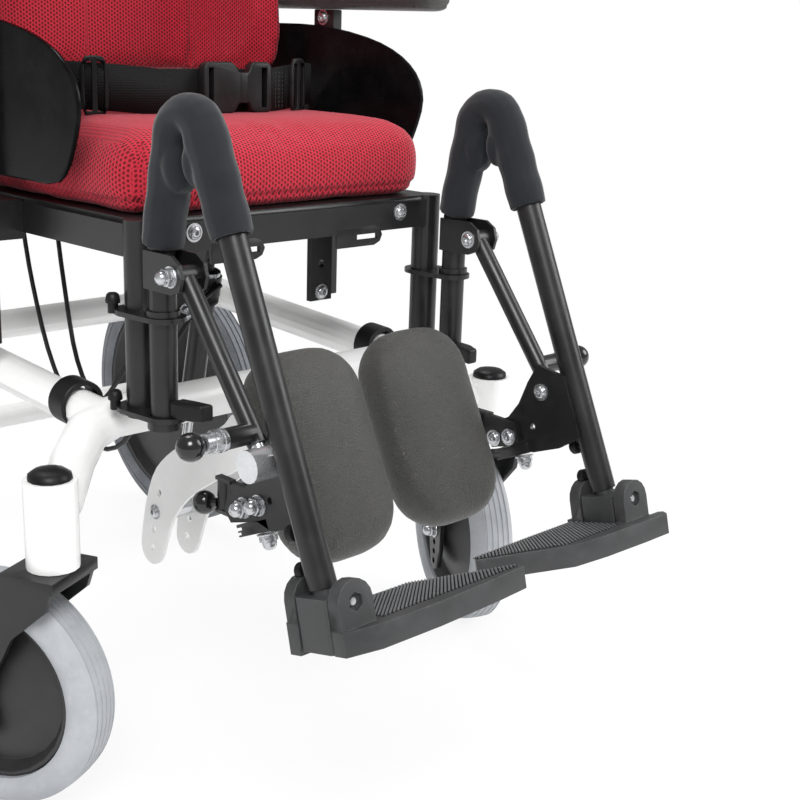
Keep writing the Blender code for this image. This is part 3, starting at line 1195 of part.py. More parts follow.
# Footplate carrier: tube in the leg tube and a block the plate hinges on
def build_foot_block(name, side):
    x = side * LEG_X
    place = foot_place(side)
    mesh = new_mesh()
    outline = rounded_outline(FOOT_BLOCK_W, FOOT_BLOCK_D, 0.004, 2)
    levels = (-FOOT_BLOCK_H / 2, FOOT_BLOCK_H / 2 - 0.006)
    rings = [[place @ Vector((a, b, level)) for a, b in outline] for level in levels]
    loft(mesh, rings)
    block = to_object("foot_block_" + name, mesh)
    mesh = new_mesh()
    add_tube(mesh, [leg_point(x, LEG_LENGTH - FOOT_TUBE_LENGTH), leg_point(x, LEG_LENGTH + 0.030)],
             TUBE_R - TUBE_WALL - SLIDE, 16)
    join(block, mesh)
    mesh = new_mesh()
    reach = FOOT_BLOCK_D / 2 + EAR_T - 0.003
    pin = [place @ Vector((0, shift, FOOT_HINGE_UP)) for shift in (-reach, reach)]
    add_tube(mesh, pin, FOOT_PIN_R, 14)
    join(block, mesh)
    finish(block, PLASTIC, leg_point(x, LEG_LENGTH))


# Footplate: two ears round the block and a plate with a slanting inner end, clear of the other plate
def build_footplate(name, side):
    place = foot_place(side)
    half = FOOT_BLOCK_W / 2
    near = FOOT_BLOCK_D / 2 + TOUCH
    far = near + EAR_T
    bottom = -FOOT_BLOCK_H / 2
    top = bottom + FOOTPLATE_T
    inner = half + 0.001
    front = -near - 0.0006
    rear = far - 0.0010
    reach = LEG_X - side * FOOT_SPLIT_X - FOOT_SPLIT_GAP / 2
    if side > 0:
        outline = [(-inner, rear), (-0.080, rear), (-reach + 0.006, 0.0262), (-reach, 0.0190),
                   (-0.0955, -0.0340), (-0.060, -0.0400), (-0.010, -0.0430), (0.0240, -0.0435),
                   (0.0300, -0.0360), (0.0280, -0.0312), (half, -0.0306), (half, front), (-inner, front)]
        rear_strip = [(-inner - 0.004, near + 0.0006), (half, near + 0.0006), (half, far + 0.0007),
                      (-inner - 0.004, far + 0.0007)]
    else:
        outline = [(inner, rear), (0.066, rear), (0.1005, 0.0260), (reach, -0.0300),
                   (reach - 0.002, -0.0360), (0.130, -0.0400), (0.066, -0.0425), (0.010, -0.0405), (-half, -0.0310),
                   (-half, front), (inner, front)]
        rear_strip = [(inner + 0.004, near + 0.0006), (-half, near + 0.0006), (-half, far + 0.0007),
                      (inner + 0.004, far + 0.0007)]
    mesh = new_mesh()
    rings = [[place @ Vector((a, b, level)) for a, b in outline] for level in (bottom, top)]
    loft(mesh, rings)
    plate = to_object("footplate_" + name, mesh)
    mesh = new_mesh()
    levels = (bottom - 0.004, top + 0.002)
    rings = [[place @ Vector((a, b, level)) for a, b in rear_strip] for level in levels]
    loft(mesh, rings)
    join(plate, mesh)
    ear_half = half - 0.0005
    ear = [(-ear_half, bottom + 0.001), (ear_half, bottom + 0.001)]
    for k in range(9):
        turn = math.radians(180.0 * k / 8)
        ear.append((ear_half * math.cos(turn), FOOT_HINGE_UP + ear_half * math.sin(turn)))
    for start, end in ((-far, -near), (near, far)):
        mesh = new_mesh()
        rings = [[place @ Vector((a, level, b)) for a, b in ear] for level in (start, end)]
        loft(mesh, rings)
        join(plate, mesh)
    holes = new_mesh()
    pin = [place @ Vector((0, shift, FOOT_HINGE_UP)) for shift in (-far + 0.0025, far - 0.0025)]
    add_tube(holes, pin, FOOT_PIN_R + PIN_PLAY, 14)
    cut(plate, holes)
    recess = new_mesh()
    deep = [place @ Vector((0, shift, FOOT_HINGE_UP)) for shift in (-far - 0.002, -far + 0.004)]
    add_tube(recess, deep, 0.0070, 6)
    cut(plate, recess)
    finish(plate, FOOT_PLASTIC, place @ Vector((0, 0, FOOT_HINGE_UP)))


def smooth_path(points, steps):
    """Points on a smooth curve through a few route points."""
    points = [Vector(p) for p in points]
    ends = [points[0] * 2 - points[1]] + points + [points[-1] * 2 - points[-2]]
    result = []
    for i in range(1, len(ends) - 2):
        a, b, c, d = ends[i - 1:i + 3]
        for k in range(steps):
            t = k / steps
            bend = (2 * a - 5 * b + 4 * c - d) * t * t + (3 * b - a - 3 * c + d) * t ** 3
            result.append(b + ((c - a) * t + bend) / 2)
    result.append(points[-1])
    return result


# Release cables hanging in loops under the seat, from the gas spring heads to the rear cross rail
def build_cable(name, route):
    mesh = new_mesh()
    add_tube(mesh, smooth_path(route, 4), CABLE_R, 6)
    finish(to_object(name, mesh), PLASTIC)


TILT_CABLE = [(0.004, 0.148, 0.390), (-0.020, 0.151, 0.372), (-0.052, 0.180, 0.300),
              (-0.064, 0.214, 0.232), (-0.072, 0.262, 0.224), (-0.080, 0.312, 0.290),
              (-0.086, 0.336, 0.370), (-0.088, 0.352, 0.4490)]
RECLINE_CABLE = [(0.046, 0.226, 0.412), (0.010, 0.235, 0.380), (-0.030, 0.262, 0.290),
                 (-0.040, 0.296, 0.252), (-0.046, 0.324, 0.290), (-0.050, 0.338, 0.370),
                 (-0.050, 0.352, 0.4490)]

build_base()
build_front_brackets()
for side_name, side_sign in SIDES:
    build_barrel_cap(side_name, side_sign)
    build_caster(side_name, side_sign)
    build_rear_wheel(side_name, side_sign)
build_seat_frame()
build_seat_cushion()
build_belt()
for side_name, side_sign in SIDES:
    build_arm(side_name, side_sign)
    build_release_lever(side_name, side_sign)
    build_grip(side_name, side_sign)
build_back()
build_back_cushion()
build_head_rest()
build_gas_spring("tilt_gas", 0.0, (TILT_TOP_Y, TILT_TOP_Z), (TILT_EYE_Y, TILT_EYE_Z), 0.150,
                 BRACKET_GAP / 2 - SLIDE)
build_gas_spring("recline_gas", RECLINE_GAS_X, (RECLINE_SEAT_Y, RECLINE_SEAT_Z),
                 (BACK_TUBE_Y, RECLINE_EYE_Z), 0.150, 0.008)
for side_name, side_sign in SIDES:
    build_hanger(side_name, side_sign)
    build_leg(side_name, side_sign)
    build_strut(side_name, side_sign)
    build_catch(side_name, side_sign)
    build_calf(side_name, side_sign)
    build_foot_block(side_name, side_sign)
    build_footplate(side_name, side_sign)
build_cable("tilt_cable", TILT_CABLE)
build_cable("recline_cable", RECLINE_CABLE)
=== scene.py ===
import json
from math import copysign, cos, exp, pi, radians, sin
import bpy
from mathutils import Matrix, Vector


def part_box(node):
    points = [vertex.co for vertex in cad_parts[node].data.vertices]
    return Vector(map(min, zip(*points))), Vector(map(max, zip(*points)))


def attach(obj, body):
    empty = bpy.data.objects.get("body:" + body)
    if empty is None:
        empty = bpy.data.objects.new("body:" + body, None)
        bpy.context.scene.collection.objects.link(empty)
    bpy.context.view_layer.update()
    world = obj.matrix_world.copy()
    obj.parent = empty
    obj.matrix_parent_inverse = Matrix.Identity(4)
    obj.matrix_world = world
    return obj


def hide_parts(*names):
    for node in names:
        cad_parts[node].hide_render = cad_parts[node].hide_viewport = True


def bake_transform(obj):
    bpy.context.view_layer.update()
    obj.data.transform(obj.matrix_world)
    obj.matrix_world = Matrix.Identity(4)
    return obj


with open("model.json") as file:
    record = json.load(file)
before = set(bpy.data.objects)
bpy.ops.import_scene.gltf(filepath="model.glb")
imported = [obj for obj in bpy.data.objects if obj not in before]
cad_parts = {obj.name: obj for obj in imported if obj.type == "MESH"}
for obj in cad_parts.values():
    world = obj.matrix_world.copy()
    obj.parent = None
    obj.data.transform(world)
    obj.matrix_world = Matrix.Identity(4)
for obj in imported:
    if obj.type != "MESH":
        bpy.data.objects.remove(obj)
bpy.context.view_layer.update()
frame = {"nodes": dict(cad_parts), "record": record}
view = bpy.context.view_layer
SIDES = (("left", 1.0), ("right", -1.0))
BODY_OF = {}
for body_name, node_names in frame["record"]["behaviour"]["bodies"].items():
    for node_name in node_names:
        BODY_OF[node_name] = body_name

# Places on the chair that several pieces share, in metres
LEG_X = 0.1655
TUBE_R = 0.011
LEG_LEAN = radians(23.6)
LEG_LENGTH = 0.327
KNEE = Vector((0.0, -0.2783, 0.5417))
CLEVIS = Vector((0.0, -0.247, 0.4433))
STRUT_END = Vector((0.0, -0.3436, 0.319))
FOOT_LEAN = radians(14.0)
FOOT_SPLIT_X = 0.008
RAIL_FRONT_Y = -0.1926
WING_X = 0.118
BACK_FACE_Y = 0.1464
CASTER_HUB = (0.27824, -0.14275, 0.1)
CASTER_TURN = radians(25.0)
REAR_AXLE = (0.222, 0.3054, 0.16)
TILT_TOP = Vector((0.0, -0.0586, 0.42))
TILT_EYE = Vector((0.0, -0.0006, 0.148))

# Directions and limits used by every tool below
UP = (0.0, 0.0, 1.0)
FORWARD = (0.0, -1.0, 0.0)
moved_to = Matrix.Translation
ON_EDGE = Matrix.Rotation(radians(90.0), 4, "X")
SAME_POINT = 0.00002
SHARP = 38.0
FAR = 9.0


# Camera where the photograph was taken from
def place_camera():
    spot = (-0.7589, -1.0673, 0.6288)
    yaw = 0.790724
    pitch = 0.271167
    roll = -0.032947
    flat = cos(pitch)
    ahead = Vector((sin(yaw) * flat, cos(yaw) * flat, -sin(pitch)))
    level = Vector((cos(yaw), -sin(yaw), 0.0))
    down = ahead.cross(level)
    right = level * cos(roll) + down * sin(roll)
    drop = down * cos(roll) - level * sin(roll)
    turn = Matrix((right, -drop, -ahead)).transposed()
    bpy.ops.object.camera_add(location=spot, rotation=turn.to_euler())
    camera = bpy.context.active_object
    camera.data.lens = 60.18
    camera.data.sensor_width = 36.0
    bpy.context.scene.camera = camera


# Workbench: picking a piece up, editing it, finishing it
def put_down():
    active = view.objects.active
    if active and active.mode != "OBJECT":
        done_editing()
    bpy.ops.object.select_all(action="DESELECT")


def pick_up(piece):
    put_down()
    piece.select_set(True)
    view.objects.active = piece


def edit_all():
    bpy.ops.object.mode_set(mode="EDIT")
    bpy.ops.mesh.select_all(action="SELECT")


def done_editing():
    bpy.ops.object.mode_set(mode="OBJECT")


def name_piece(name):
    piece = view.objects.active
    piece.name = name
    piece.data.name = name
    return piece


def bake_modifier(piece, kind, settings):
    pick_up(piece)
    modifier = piece.modifiers.new(kind.lower(), kind)
    for key, value in settings.items():
        setattr(modifier, key, value)
    bpy.ops.object.modifier_apply(modifier=modifier.name)


def carry(piece, place):
    """Moves a piece to its place and keeps the place in its mesh."""
    pick_up(piece)
    piece.matrix_world = place
    bpy.ops.object.transform_apply(location=True, rotation=True, scale=True)


def soften(piece, degrees=SHARP):
    pick_up(piece)
    bpy.ops.object.shade_smooth_by_angle(angle=radians(degrees))


def round_edges(piece, width, segments=2, degrees=SHARP):
    bake_modifier(piece, "BEVEL", {"width": width, "segments": segments, "limit_method": "ANGLE",
                                   "angle_limit": radians(degrees), "use_clamp_overlap": True})
    soften(piece, degrees)


def at(point, way=UP):
    """Place at a point, with the z axis turned along a way."""
    turn = Vector(UP).rotation_difference(Vector(way)).to_matrix().to_4x4()
    return moved_to(Vector(point)) @ turn


def mm(*points):
    """Points given in millimetres, as metres."""
    return [tuple(value / 1000.0 for value in point) for point in points]


def clamped(value):
    return min(max(value, 0.0), 1.0)


def twin(name, mesh):
    """New piece with its own copy of a mesh."""
    piece = bpy.data.objects.new(name, mesh.copy())
    bpy.context.collection.objects.link(piece)
    return piece


def copy_of_node(name, node):
    """Own copy of a solid's mesh, with its loose triangles joined up."""
    piece = twin(name, frame["nodes"][node].data)
    pick_up(piece)
    edit_all()
    bpy.ops.mesh.remove_doubles(threshold=SAME_POINT)
    done_editing()
    piece.data.materials.clear()
    return name_piece(name)


def cover(piece, material):
    """Gives a piece one material."""
    piece.data.materials.clear()
    piece.data.materials.append(material)


def fit(piece, body, material, *nodes, slot=None):
    """Gives a finished piece its material, its body and the solids that it stands for."""
    cover(piece, material)
    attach(piece, body)
    if nodes:
        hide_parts(*nodes)


def gather(name, pieces):
    """Joins pieces into one."""
    put_down()
    for piece in pieces:
        piece.select_set(True)
    view.objects.active = pieces[0]
    if len(pieces) > 1:
        bpy.ops.object.join()
    return name_piece(name)


def rod(name, sides, radius, depth):
    """Plain cylinder round the z axis."""
    put_down()
    bpy.ops.mesh.primitive_cylinder_add(vertices=sides, radius=radius, depth=depth)
    return name_piece(name)


def loop_of(name, points, fill):
    """Closed loop through some points, open or filled with one face."""
    put_down()
    bpy.ops.mesh.primitive_circle_add(vertices=len(points), radius=0.05, fill_type=fill)
    piece = name_piece(name)
    for vertex, point in zip(piece.data.vertices, points):
        vertex.co = point
    return piece


def turned(name, profile, place=Matrix.Identity(4), steps=32, closed=False, degrees=SHARP):
    """Piece turned on a lathe: profile points are (radius, height) on the z axis."""
    piece = loop_of(name, [(radius, 0.0, height) for radius, height in profile], "NOTHING")
    bpy.ops.object.mode_set(mode="EDIT")
    bpy.ops.mesh.select_mode(type="EDGE")
    bpy.ops.mesh.select_all(action="DESELECT")
    done_editing()
    last = len(profile) - 1
    for edge in piece.data.edges:
        edge.select = not closed and set(edge.vertices) == {0, last}
    bpy.ops.object.mode_set(mode="EDIT")
    if not closed:
        bpy.ops.mesh.delete(type="EDGE")
    bpy.ops.mesh.select_all(action="SELECT")
    bpy.ops.mesh.spin(steps=steps, angle=2.0 * pi, center=(0.0, 0.0, 0.0), axis=UP)
    bpy.ops.mesh.select_all(action="SELECT")
    bpy.ops.mesh.remove_doubles(threshold=SAME_POINT)
    bpy.ops.mesh.dissolve_degenerate(threshold=0.000001)
    bpy.ops.mesh.normals_make_consistent(inside=False)
    done_editing()
    carry(piece, place)
    soften(piece, degrees)
    return piece


def cut_plate(name, outline, thickness, place, edge=0.0008, segments=2):
    """Flat blank cut to an outline, given its thickness and rounded edges."""
    piece = loop_of(name, [(across, along, 0.0) for across, along in outline], "NGON")
    edit_all()
    bpy.ops.mesh.extrude_region_move(TRANSFORM_OT_translate={"value": (0.0, 0.0, thickness)})
    bpy.ops.mesh.select_all(action="SELECT")
    bpy.ops.mesh.normals_make_consistent(inside=False)
    done_editing()
    carry(piece, place)
    if edge:
        round_edges(piece, edge, segments)
    return piece


def hexagon(name, radius, depth, middle):
    """Six-sided nut body with its middle at a height on the z axis."""
    piece = rod(name, 6, radius, depth)
    carry(piece, moved_to((0.0, 0.0, middle)))
    round_edges(piece, 0.0006)
    return piece


def ball_on_stem(stem, first, centre, radius):
    """Lathe profile of a ball on its stem, from the first of sixteen steps round the ball."""
    points = list(stem)
    for step in range(first, 17):
        angle = pi * step / 16
        points.append((max(sin(angle) * radius, 0.0), centre - cos(angle) * radius))
    return points


def cut_away(piece, bit):
    bake_modifier(piece, "BOOLEAN", {"operation": "DIFFERENCE", "object": bit, "solver": "EXACT"})
    bpy.data.objects.remove(bit)


def drill(piece, points, way, radius, depth, sides=16):
    """Holes through a piece at some points, made with a round or six-sided bit."""
    for point in points:
        bit = rod("bit", sides, radius, depth)
        carry(bit, at(point, way))
        cut_away(piece, bit)
    soften(piece)


def mill_slot(piece, low, high):
    """Box-shaped slot between two corners."""
    put_down()
    bpy.ops.mesh.primitive_cube_add(size=1.0)
    bit = name_piece("bit")
    low = Vector(low)
    high = Vector(high)
    carry(bit, moved_to((low + high) / 2) @ Matrix.Diagonal((*(high - low), 1.0)))
    cut_away(piece, bit)
    soften(piece)


# Shader groups
def add_node(tree, kind, result, inputs, **settings):
    """Adds a shader node, sets it up, feeds its inputs with sockets or values, and gives one result."""
    made = tree.nodes.new("ShaderNode" + kind)
    for key, value in settings.items():
        setattr(made, key, value)
    for label, value in inputs.items():
        if isinstance(value, bpy.types.NodeSocket):
            tree.links.new(value, made.inputs[label])
        else:
            made.inputs[label].default_value = value
    return made.outputs[result]


def start_group(name, label, results=("Mottle", "Height")):
    """Group with one number to set; gives its tree, the socket of that number and its result sockets."""
    tree = bpy.data.node_groups.new(name, "ShaderNodeTree")
    tree.interface.new_socket(name=label, in_out="INPUT", socket_type="NodeSocketFloat")
    for result in results:
        tree.interface.new_socket(name=result, in_out="OUTPUT", socket_type="NodeSocketFloat")
    given = tree.nodes.new("NodeGroupInput").outputs[label]
    return tree, given, tree.nodes.new("NodeGroupOutput").inputs


def end_group(tree, out, mottle, height):
    tree.links.new(mottle, out["Mottle"])
    tree.links.new(height, out["Height"])
    return tree


def use_group(tree, group, number):
    made = tree.nodes.new("ShaderNodeGroup")
    made.node_tree = group
    made.inputs[0].default_value = number
    return made.outputs


def maths(tree, operation, first, second=0.0, clamp=False):
    return add_node(tree, "Math", 0, {0: first, 1: second}, operation=operation, use_clamp=clamp)


def product(tree, first, second):
    return maths(tree, "MULTIPLY", first, second)


def total(tree, first, second, clamp=False):
    return maths(tree, "ADD", first, second, clamp)


def ramp_of(tree, value, low, high, start=0.0, end=1.0):
    inputs = {"Value": value, "From Min": low, "From Max": high, "To Min": start, "To Max": end}
    return add_node(tree, "MapRange", "Result", inputs, interpolation_type="SMOOTHSTEP")


def noise_of(tree, vector, scale, detail=3.0, rough=0.55):
    inputs = {"Vector": vector, "Scale": scale, "Detail": detail, "Roughness": rough}
    return add_node(tree, "TexNoise", "Fac", inputs)


def object_place(tree):
    return add_node(tree, "TexCoord", "Object", {})


def stretched(tree, vector, scale):
    return add_node(tree, "Mapping", "Vector", {"Vector": vector, "Scale": scale})


def dot_of(tree, first, second):
    return add_node(tree, "VectorMath", "Value", {0: first, 1: second}, operation="DOT_PRODUCT")


def weave_angle(tree, pitch, way):
    """Angle that turns once in each pitch along one way of the weave map."""
    weave = add_node(tree, "UVMap", "UV", {}, uv_map="weave")
    turns = maths(tree, "DIVIDE", 2.0 * pi, pitch)
    return product(tree, dot_of(tree, weave, way), turns)


def moulded_grain():
    """Fine speckle with slow cloudy handling marks, for lacquer, plastic and rubber."""
    tree, scale, out = start_group("moulded grain", "Scale")
    place = object_place(tree)
    fine = noise_of(tree, place, scale, 2.0)
    cloud = noise_of(tree, place, 26.0, 4.0, 0.62)
    scuff = ramp_of(tree, noise_of(tree, place, 70.0, 5.0, 0.7), 0.52, 0.72)
    patches = product(tree, ramp_of(tree, cloud, 0.3, 0.7), 0.65)
    blend = total(tree, patches, product(tree, scuff, 0.35), True)
    return end_group(tree, out, blend, total(tree, fine, product(tree, cloud, 0.4)))


def hide_grain():
    """Pebbled leatherette: small cells, shallow creases and a soft change of tone."""
    tree, scale, out = start_group("hide grain", "Scale")
    place = object_place(tree)
    inputs = {"Vector": place, "Scale": scale}
    cells = add_node(tree, "TexVoronoi", "Distance", inputs, feature="DISTANCE_TO_EDGE")
    pebble = ramp_of(tree, cells, 0.0, 0.22)
    crease = noise_of(tree, stretched(tree, place, (1.0, 1.0, 2.6)), 120.0, 4.0, 0.6)
    tone = noise_of(tree, place, 18.0)
    high = total(tree, product(tree, pebble, 0.6), product(tree, crease, 0.9))
    mixed = total(tree, product(tree, tone, 0.6), product(tree, pebble, 0.3))
    return end_group(tree, out, ramp_of(tree, mixed, 0.3, 0.75), high)


def spacer_mesh():
    """Knitted spacer fabric: a six-sided lattice of small holes, with threads of uneven tone; the holes take
    the dark tone as painted shade in the fabric's depth.
    """
    tree, pitch, out = start_group("spacer mesh", "Pitch")
    waves = []
    for way in ((1.0, 0.0, 0.0), (0.5, 0.866, 0.0), (-0.5, 0.866, 0.0)):
        waves.append(maths(tree, "COSINE", weave_angle(tree, pitch, way)))
    hole = ramp_of(tree, total(tree, total(tree, waves[0], waves[1]), waves[2]), -0.55, 1.35)
    tone = noise_of(tree, object_place(tree), 240.0)
    solid = maths(tree, "SUBTRACT", 1.0, hole)
    # Holes get the dark tone: painted shade in the mesh's depth.
    thread_over_hole_shade = product(tree, solid, ramp_of(tree, tone, 0.2, 0.8, 0.72, 1.0))
    return end_group(tree, out, thread_over_hole_shade, solid)


def strap_twill():
    """Woven strap: ribs across its length in two offset rows, read along the strap's own weave map."""
    tree, pitch, out = start_group("strap twill", "Pitch")
    rib = product(tree, maths(tree, "SINE", weave_angle(tree, pitch, (1.0, 0.55, 0.0))), 0.5)
    row = product(tree, maths(tree, "COSINE", weave_angle(tree, pitch, (0.0, 1.0, 0.0))), 0.35)
    high = total(tree, rib, row)
    tone = noise_of(tree, object_place(tree), 90.0)
    blend = total(tree, ramp_of(tree, high, -0.6, 0.7, 0.0, 0.7), product(tree, tone, 0.3))
    return end_group(tree, out, blend, high)


def sleeve_knit():
    """Neoprene with a fine stockinette face and rubbed pale patches."""
    tree, scale, out = start_group("sleeve knit", "Scale")
    place = object_place(tree)
    fine = noise_of(tree, place, scale, 2.0, 0.7)
    lint = ramp_of(tree, noise_of(tree, place, 420.0, 2.0), 0.66, 0.78)
    rub = noise_of(tree, place, 34.0, 4.0, 0.6)
    blend = total(tree, product(tree, rub, 0.75), product(tree, lint, 0.3), True)
    return end_group(tree, out, blend, fine)


def plated_haze():
    """Plated metal: hazy bloom and faint drawn lines."""
    tree, scale, out = start_group("plated haze", "Scale")
    place = object_place(tree)
    lines = noise_of(tree, stretched(tree, place, (0.12, 1.0, 1.0)), 2600.0, 2.0)
    haze = noise_of(tree, place, scale, 4.0, 0.65)
    return end_group(tree, out, ramp_of(tree, haze, 0.3, 0.72), lines)


def edge_wear_and_highlight():
    """Mask of the narrow bands along edges, broken up by noise: rubbed wear where the finish is rubbed, and
    a painted highlight on the footplate.
    """
    tree, width, out = start_group("worn and highlighted edges", "Width", ["Mask"])
    rounded = add_node(tree, "Bevel", "Normal", {"Radius": width}, samples=4)
    turn = dot_of(tree, rounded, add_node(tree, "NewGeometry", "Normal", {}))
    edge = ramp_of(tree, maths(tree, "SUBTRACT", 1.0, turn), 0.04, 0.22)
    rough = ramp_of(tree, noise_of(tree, object_place(tree), 140.0, 4.0, 0.7), 0.4, 0.65)
    tree.links.new(product(tree, edge, rough), out["Mask"])
    return tree


GRAIN = moulded_grain()
HIDE = hide_grain()
MESH = spacer_mesh()
TWILL = strap_twill()
KNIT = sleeve_knit()
PLATE = plated_haze()
EDGE_WEAR_AND_HIGHLIGHT = edge_wear_and_highlight()


def start_material(name, fixed):
    """New material with some fixed shader values; gives it, its tree and its shader."""
    material = bpy.data.materials.new(name)
    material.use_nodes = True
    shader = material.node_tree.nodes["Principled BSDF"]
    for label, value in fixed.items():
        shader.inputs[label].default_value = value
    return material, material.node_tree, shader


def mix_colour(tree, mask, first, second):
    return add_node(tree, "Mix", 2, {"Factor": mask, 6: first, 7: second}, data_type="RGBA")


def finish_of(name, pattern, number, dark, light, rough, bump, fixed, rubbed=None):
    """Material for a slot: a pattern group and its number, two tones, a range of roughness, the strength
    and depth of the bump, fixed shader values, and the width and tone of the edge band: rubbed wear on most
    finishes, a painted highlight on the footplate."""
    material, tree, shader = start_material(name, fixed)
    surface = use_group(tree, pattern, number)
    mottle = surface["Mottle"]
    colour = mix_colour(tree, mottle, (*dark, 1.0), (*light, 1.0))
    if rubbed:
        width, tone = rubbed
        # The edge band lightens edges: rubbed wear on most finishes, a painted highlight on the footplate.
        colour = mix_colour(tree, use_group(tree, EDGE_WEAR_AND_HIGHLIGHT, width)["Mask"], colour, (*tone, 1.0))
    relief = {"Strength": bump[0], "Distance": bump[1], "Height": surface["Height"]}
    tree.links.new(colour, shader.inputs["Base Color"])
    tree.links.new(ramp_of(tree, mottle, 0.0, 1.0, *rough), shader.inputs["Roughness"])
    tree.links.new(add_node(tree, "Bump", "Normal", relief), shader.inputs["Normal"])
    return material


WHITE = finish_of(
    "white frame lacquer", GRAIN, 500.0, (0.86, 0.86, 0.85), (0.91, 0.91, 0.905),
    (0.3, 0.4), (0.06, 0.0004), {"Coat Weight": 0.25, "Coat Roughness": 0.12})
BLACK = finish_of(
    "black tube lacquer", GRAIN, 1100.0, (0.0075, 0.0075, 0.008), (0.015, 0.015, 0.016),
    (0.33, 0.45), (0.1, 0.0003), {"Coat Weight": 0.08, "Coat Roughness": 0.25},
    (0.0009, (0.05, 0.05, 0.052)))
PLASTIC = finish_of(
    "black moulded plastic", GRAIN, 1300.0, (0.006, 0.006, 0.0063), (0.013, 0.013, 0.0135),
    (0.36, 0.52), (0.14, 0.0003), {"Specular IOR Level": 0.28}, (0.001, (0.035, 0.035, 0.036)))
PANEL = finish_of(
    "side panel plastic", GRAIN, 700.0, (0.003, 0.003, 0.0033), (0.007, 0.007, 0.0075),
    (0.2, 0.34), (0.05, 0.0003), {"Specular IOR Level": 0.09})
KNOB = finish_of(
    "knob plastic", GRAIN, 800.0, (0.006, 0.006, 0.0062), (0.011, 0.011, 0.0115),
    (0.14, 0.24), (0.03, 0.0002), {"Coat Weight": 0.4, "Coat Roughness": 0.08})
# Footplate plastic: its lighter edge band is a painted highlight along the rounded edges.
TREAD = finish_of(
    "footplate plastic", GRAIN, 1000.0, (0.03, 0.031, 0.032), (0.052, 0.053, 0.055),
    (0.42, 0.58), (0.22, 0.0004), {}, (0.0018, (0.115, 0.118, 0.121)))
# Footplate grooves: the plate's plastic darkened as painted shade between the ribs.
GROOVE_SHADE = finish_of(
    "footplate groove painted shade", GRAIN, 1000.0, (0.005, 0.005, 0.0055), (0.01, 0.01, 0.011),
    (0.6, 0.75), (0.15, 0.0003), {"Specular IOR Level": 0.15})
# Footplate ribs: the plate's plastic lightened as a painted highlight on their lit tops.
HIGHLIT_RIB = finish_of(
    "footplate rib painted highlight", GRAIN, 1000.0, (0.095, 0.098, 0.102), (0.135, 0.139, 0.144),
    (0.34, 0.48), (0.15, 0.0003), {})
RIM = finish_of(
    "wheel rim plastic", GRAIN, 900.0, (0.014, 0.014, 0.015), (0.028, 0.028, 0.03),
    (0.38, 0.52), (0.15, 0.0003), {}, (0.001, (0.06, 0.06, 0.062)))
RUBBER = finish_of(
    "handle grip rubber", GRAIN, 1400.0, (0.01, 0.01, 0.0105), (0.02, 0.02, 0.021),
    (0.62, 0.8), (0.25, 0.0004), {"Specular IOR Level": 0.25})
SHEATH = finish_of(
    "cable sheath", GRAIN, 1000.0, (0.008, 0.008, 0.0085), (0.016, 0.016, 0.017),
    (0.34, 0.46), (0.08, 0.0002), {})
TYRE = finish_of(
    "caster tyre rubber", GRAIN, 700.0, (0.34, 0.355, 0.38), (0.45, 0.465, 0.49),
    (0.52, 0.66), (0.16, 0.0004), {})
REAR_TYRE = finish_of(
    "rear tyre rubber", GRAIN, 700.0, (0.15, 0.16, 0.18), (0.25, 0.265, 0.29),
    (0.55, 0.7), (0.2, 0.0004), {})
ZINC = finish_of(
    "zinc plating", PLATE, 160.0, (0.52, 0.53, 0.55), (0.68, 0.69, 0.71),
    (0.2, 0.34), (0.05, 0.0002), {"Metallic": 0.88})
CHROME = finish_of(
    "satin chrome", PLATE, 60.0, (0.66, 0.67, 0.69), (0.75, 0.76, 0.78),
    (0.2, 0.3), (0.012, 0.0001), {"Metallic": 0.8})
HIDE_PAD = finish_of(
    "calf pad leatherette", HIDE, 620.0, (0.03, 0.03, 0.027), (0.053, 0.052, 0.047),
    (0.4, 0.54), (0.8, 0.0008), {"Sheen Weight": 0.12, "Sheen Roughness": 0.5})
# Red mesh: the dark tone fills the holes as painted shade in the mesh's depth; the light tone is the
# threads.
RED_MESH = finish_of(
    "red spacer mesh", MESH, 0.0034, (0.14, 0.0032, 0.008), (0.52, 0.023, 0.044),
    (0.72, 0.86), (0.75, 0.0011),
    {"Sheen Weight": 0.3, "Sheen Roughness": 0.4, "Specular IOR Level": 0.2,
     "Sheen Tint": (1.0, 0.55, 0.6, 1.0)})
NEOPRENE = finish_of(
    "knee sleeve neoprene", KNIT, 1500.0, (0.013, 0.0145, 0.0172), (0.028, 0.0303, 0.0352),
    (0.82, 0.95), (0.22, 0.0005),
    {"Sheen Weight": 0.2, "Sheen Roughness": 0.45, "Specular IOR Level": 0.1})
STRAP = finish_of(
    "belt webbing", TWILL, 0.0022, (0.003, 0.003, 0.0032), (0.012, 0.012, 0.0125),
    (0.46, 0.62), (0.5, 0.0004),
    {"Sheen Weight": 0.02, "Sheen Roughness": 0.5, "Specular IOR Level": 0.12})
THREAD = finish_of(
    "belt stitching", KNIT, 1500.0, (0.02, 0.02, 0.021), (0.05, 0.05, 0.052),
    (0.6, 0.8), (0.2, 0.0002), {})


# Soft goods
def lay_cloth(piece, spread):
    """Writes the weave map of a cloth piece, in metres along and across the cloth."""
    layer = piece.data.uv_layers.new(name="weave")
    vertices = piece.data.vertices
    for face in piece.data.polygons:
        for index in face.loop_indices:
            corner = vertices[piece.data.loops[index].vertex_index]
            layer.data[index].uv = spread(corner.co, face.normal)


def held(floor=-FAR, top=FAR, rear=FAR):
    """Rule that keeps a point of a pad above its seat, below its top and before its rear face."""
    def keep(point):
        return Vector((point.x, min(point.y, rear), min(max(point.z, floor), top)))

    return keep


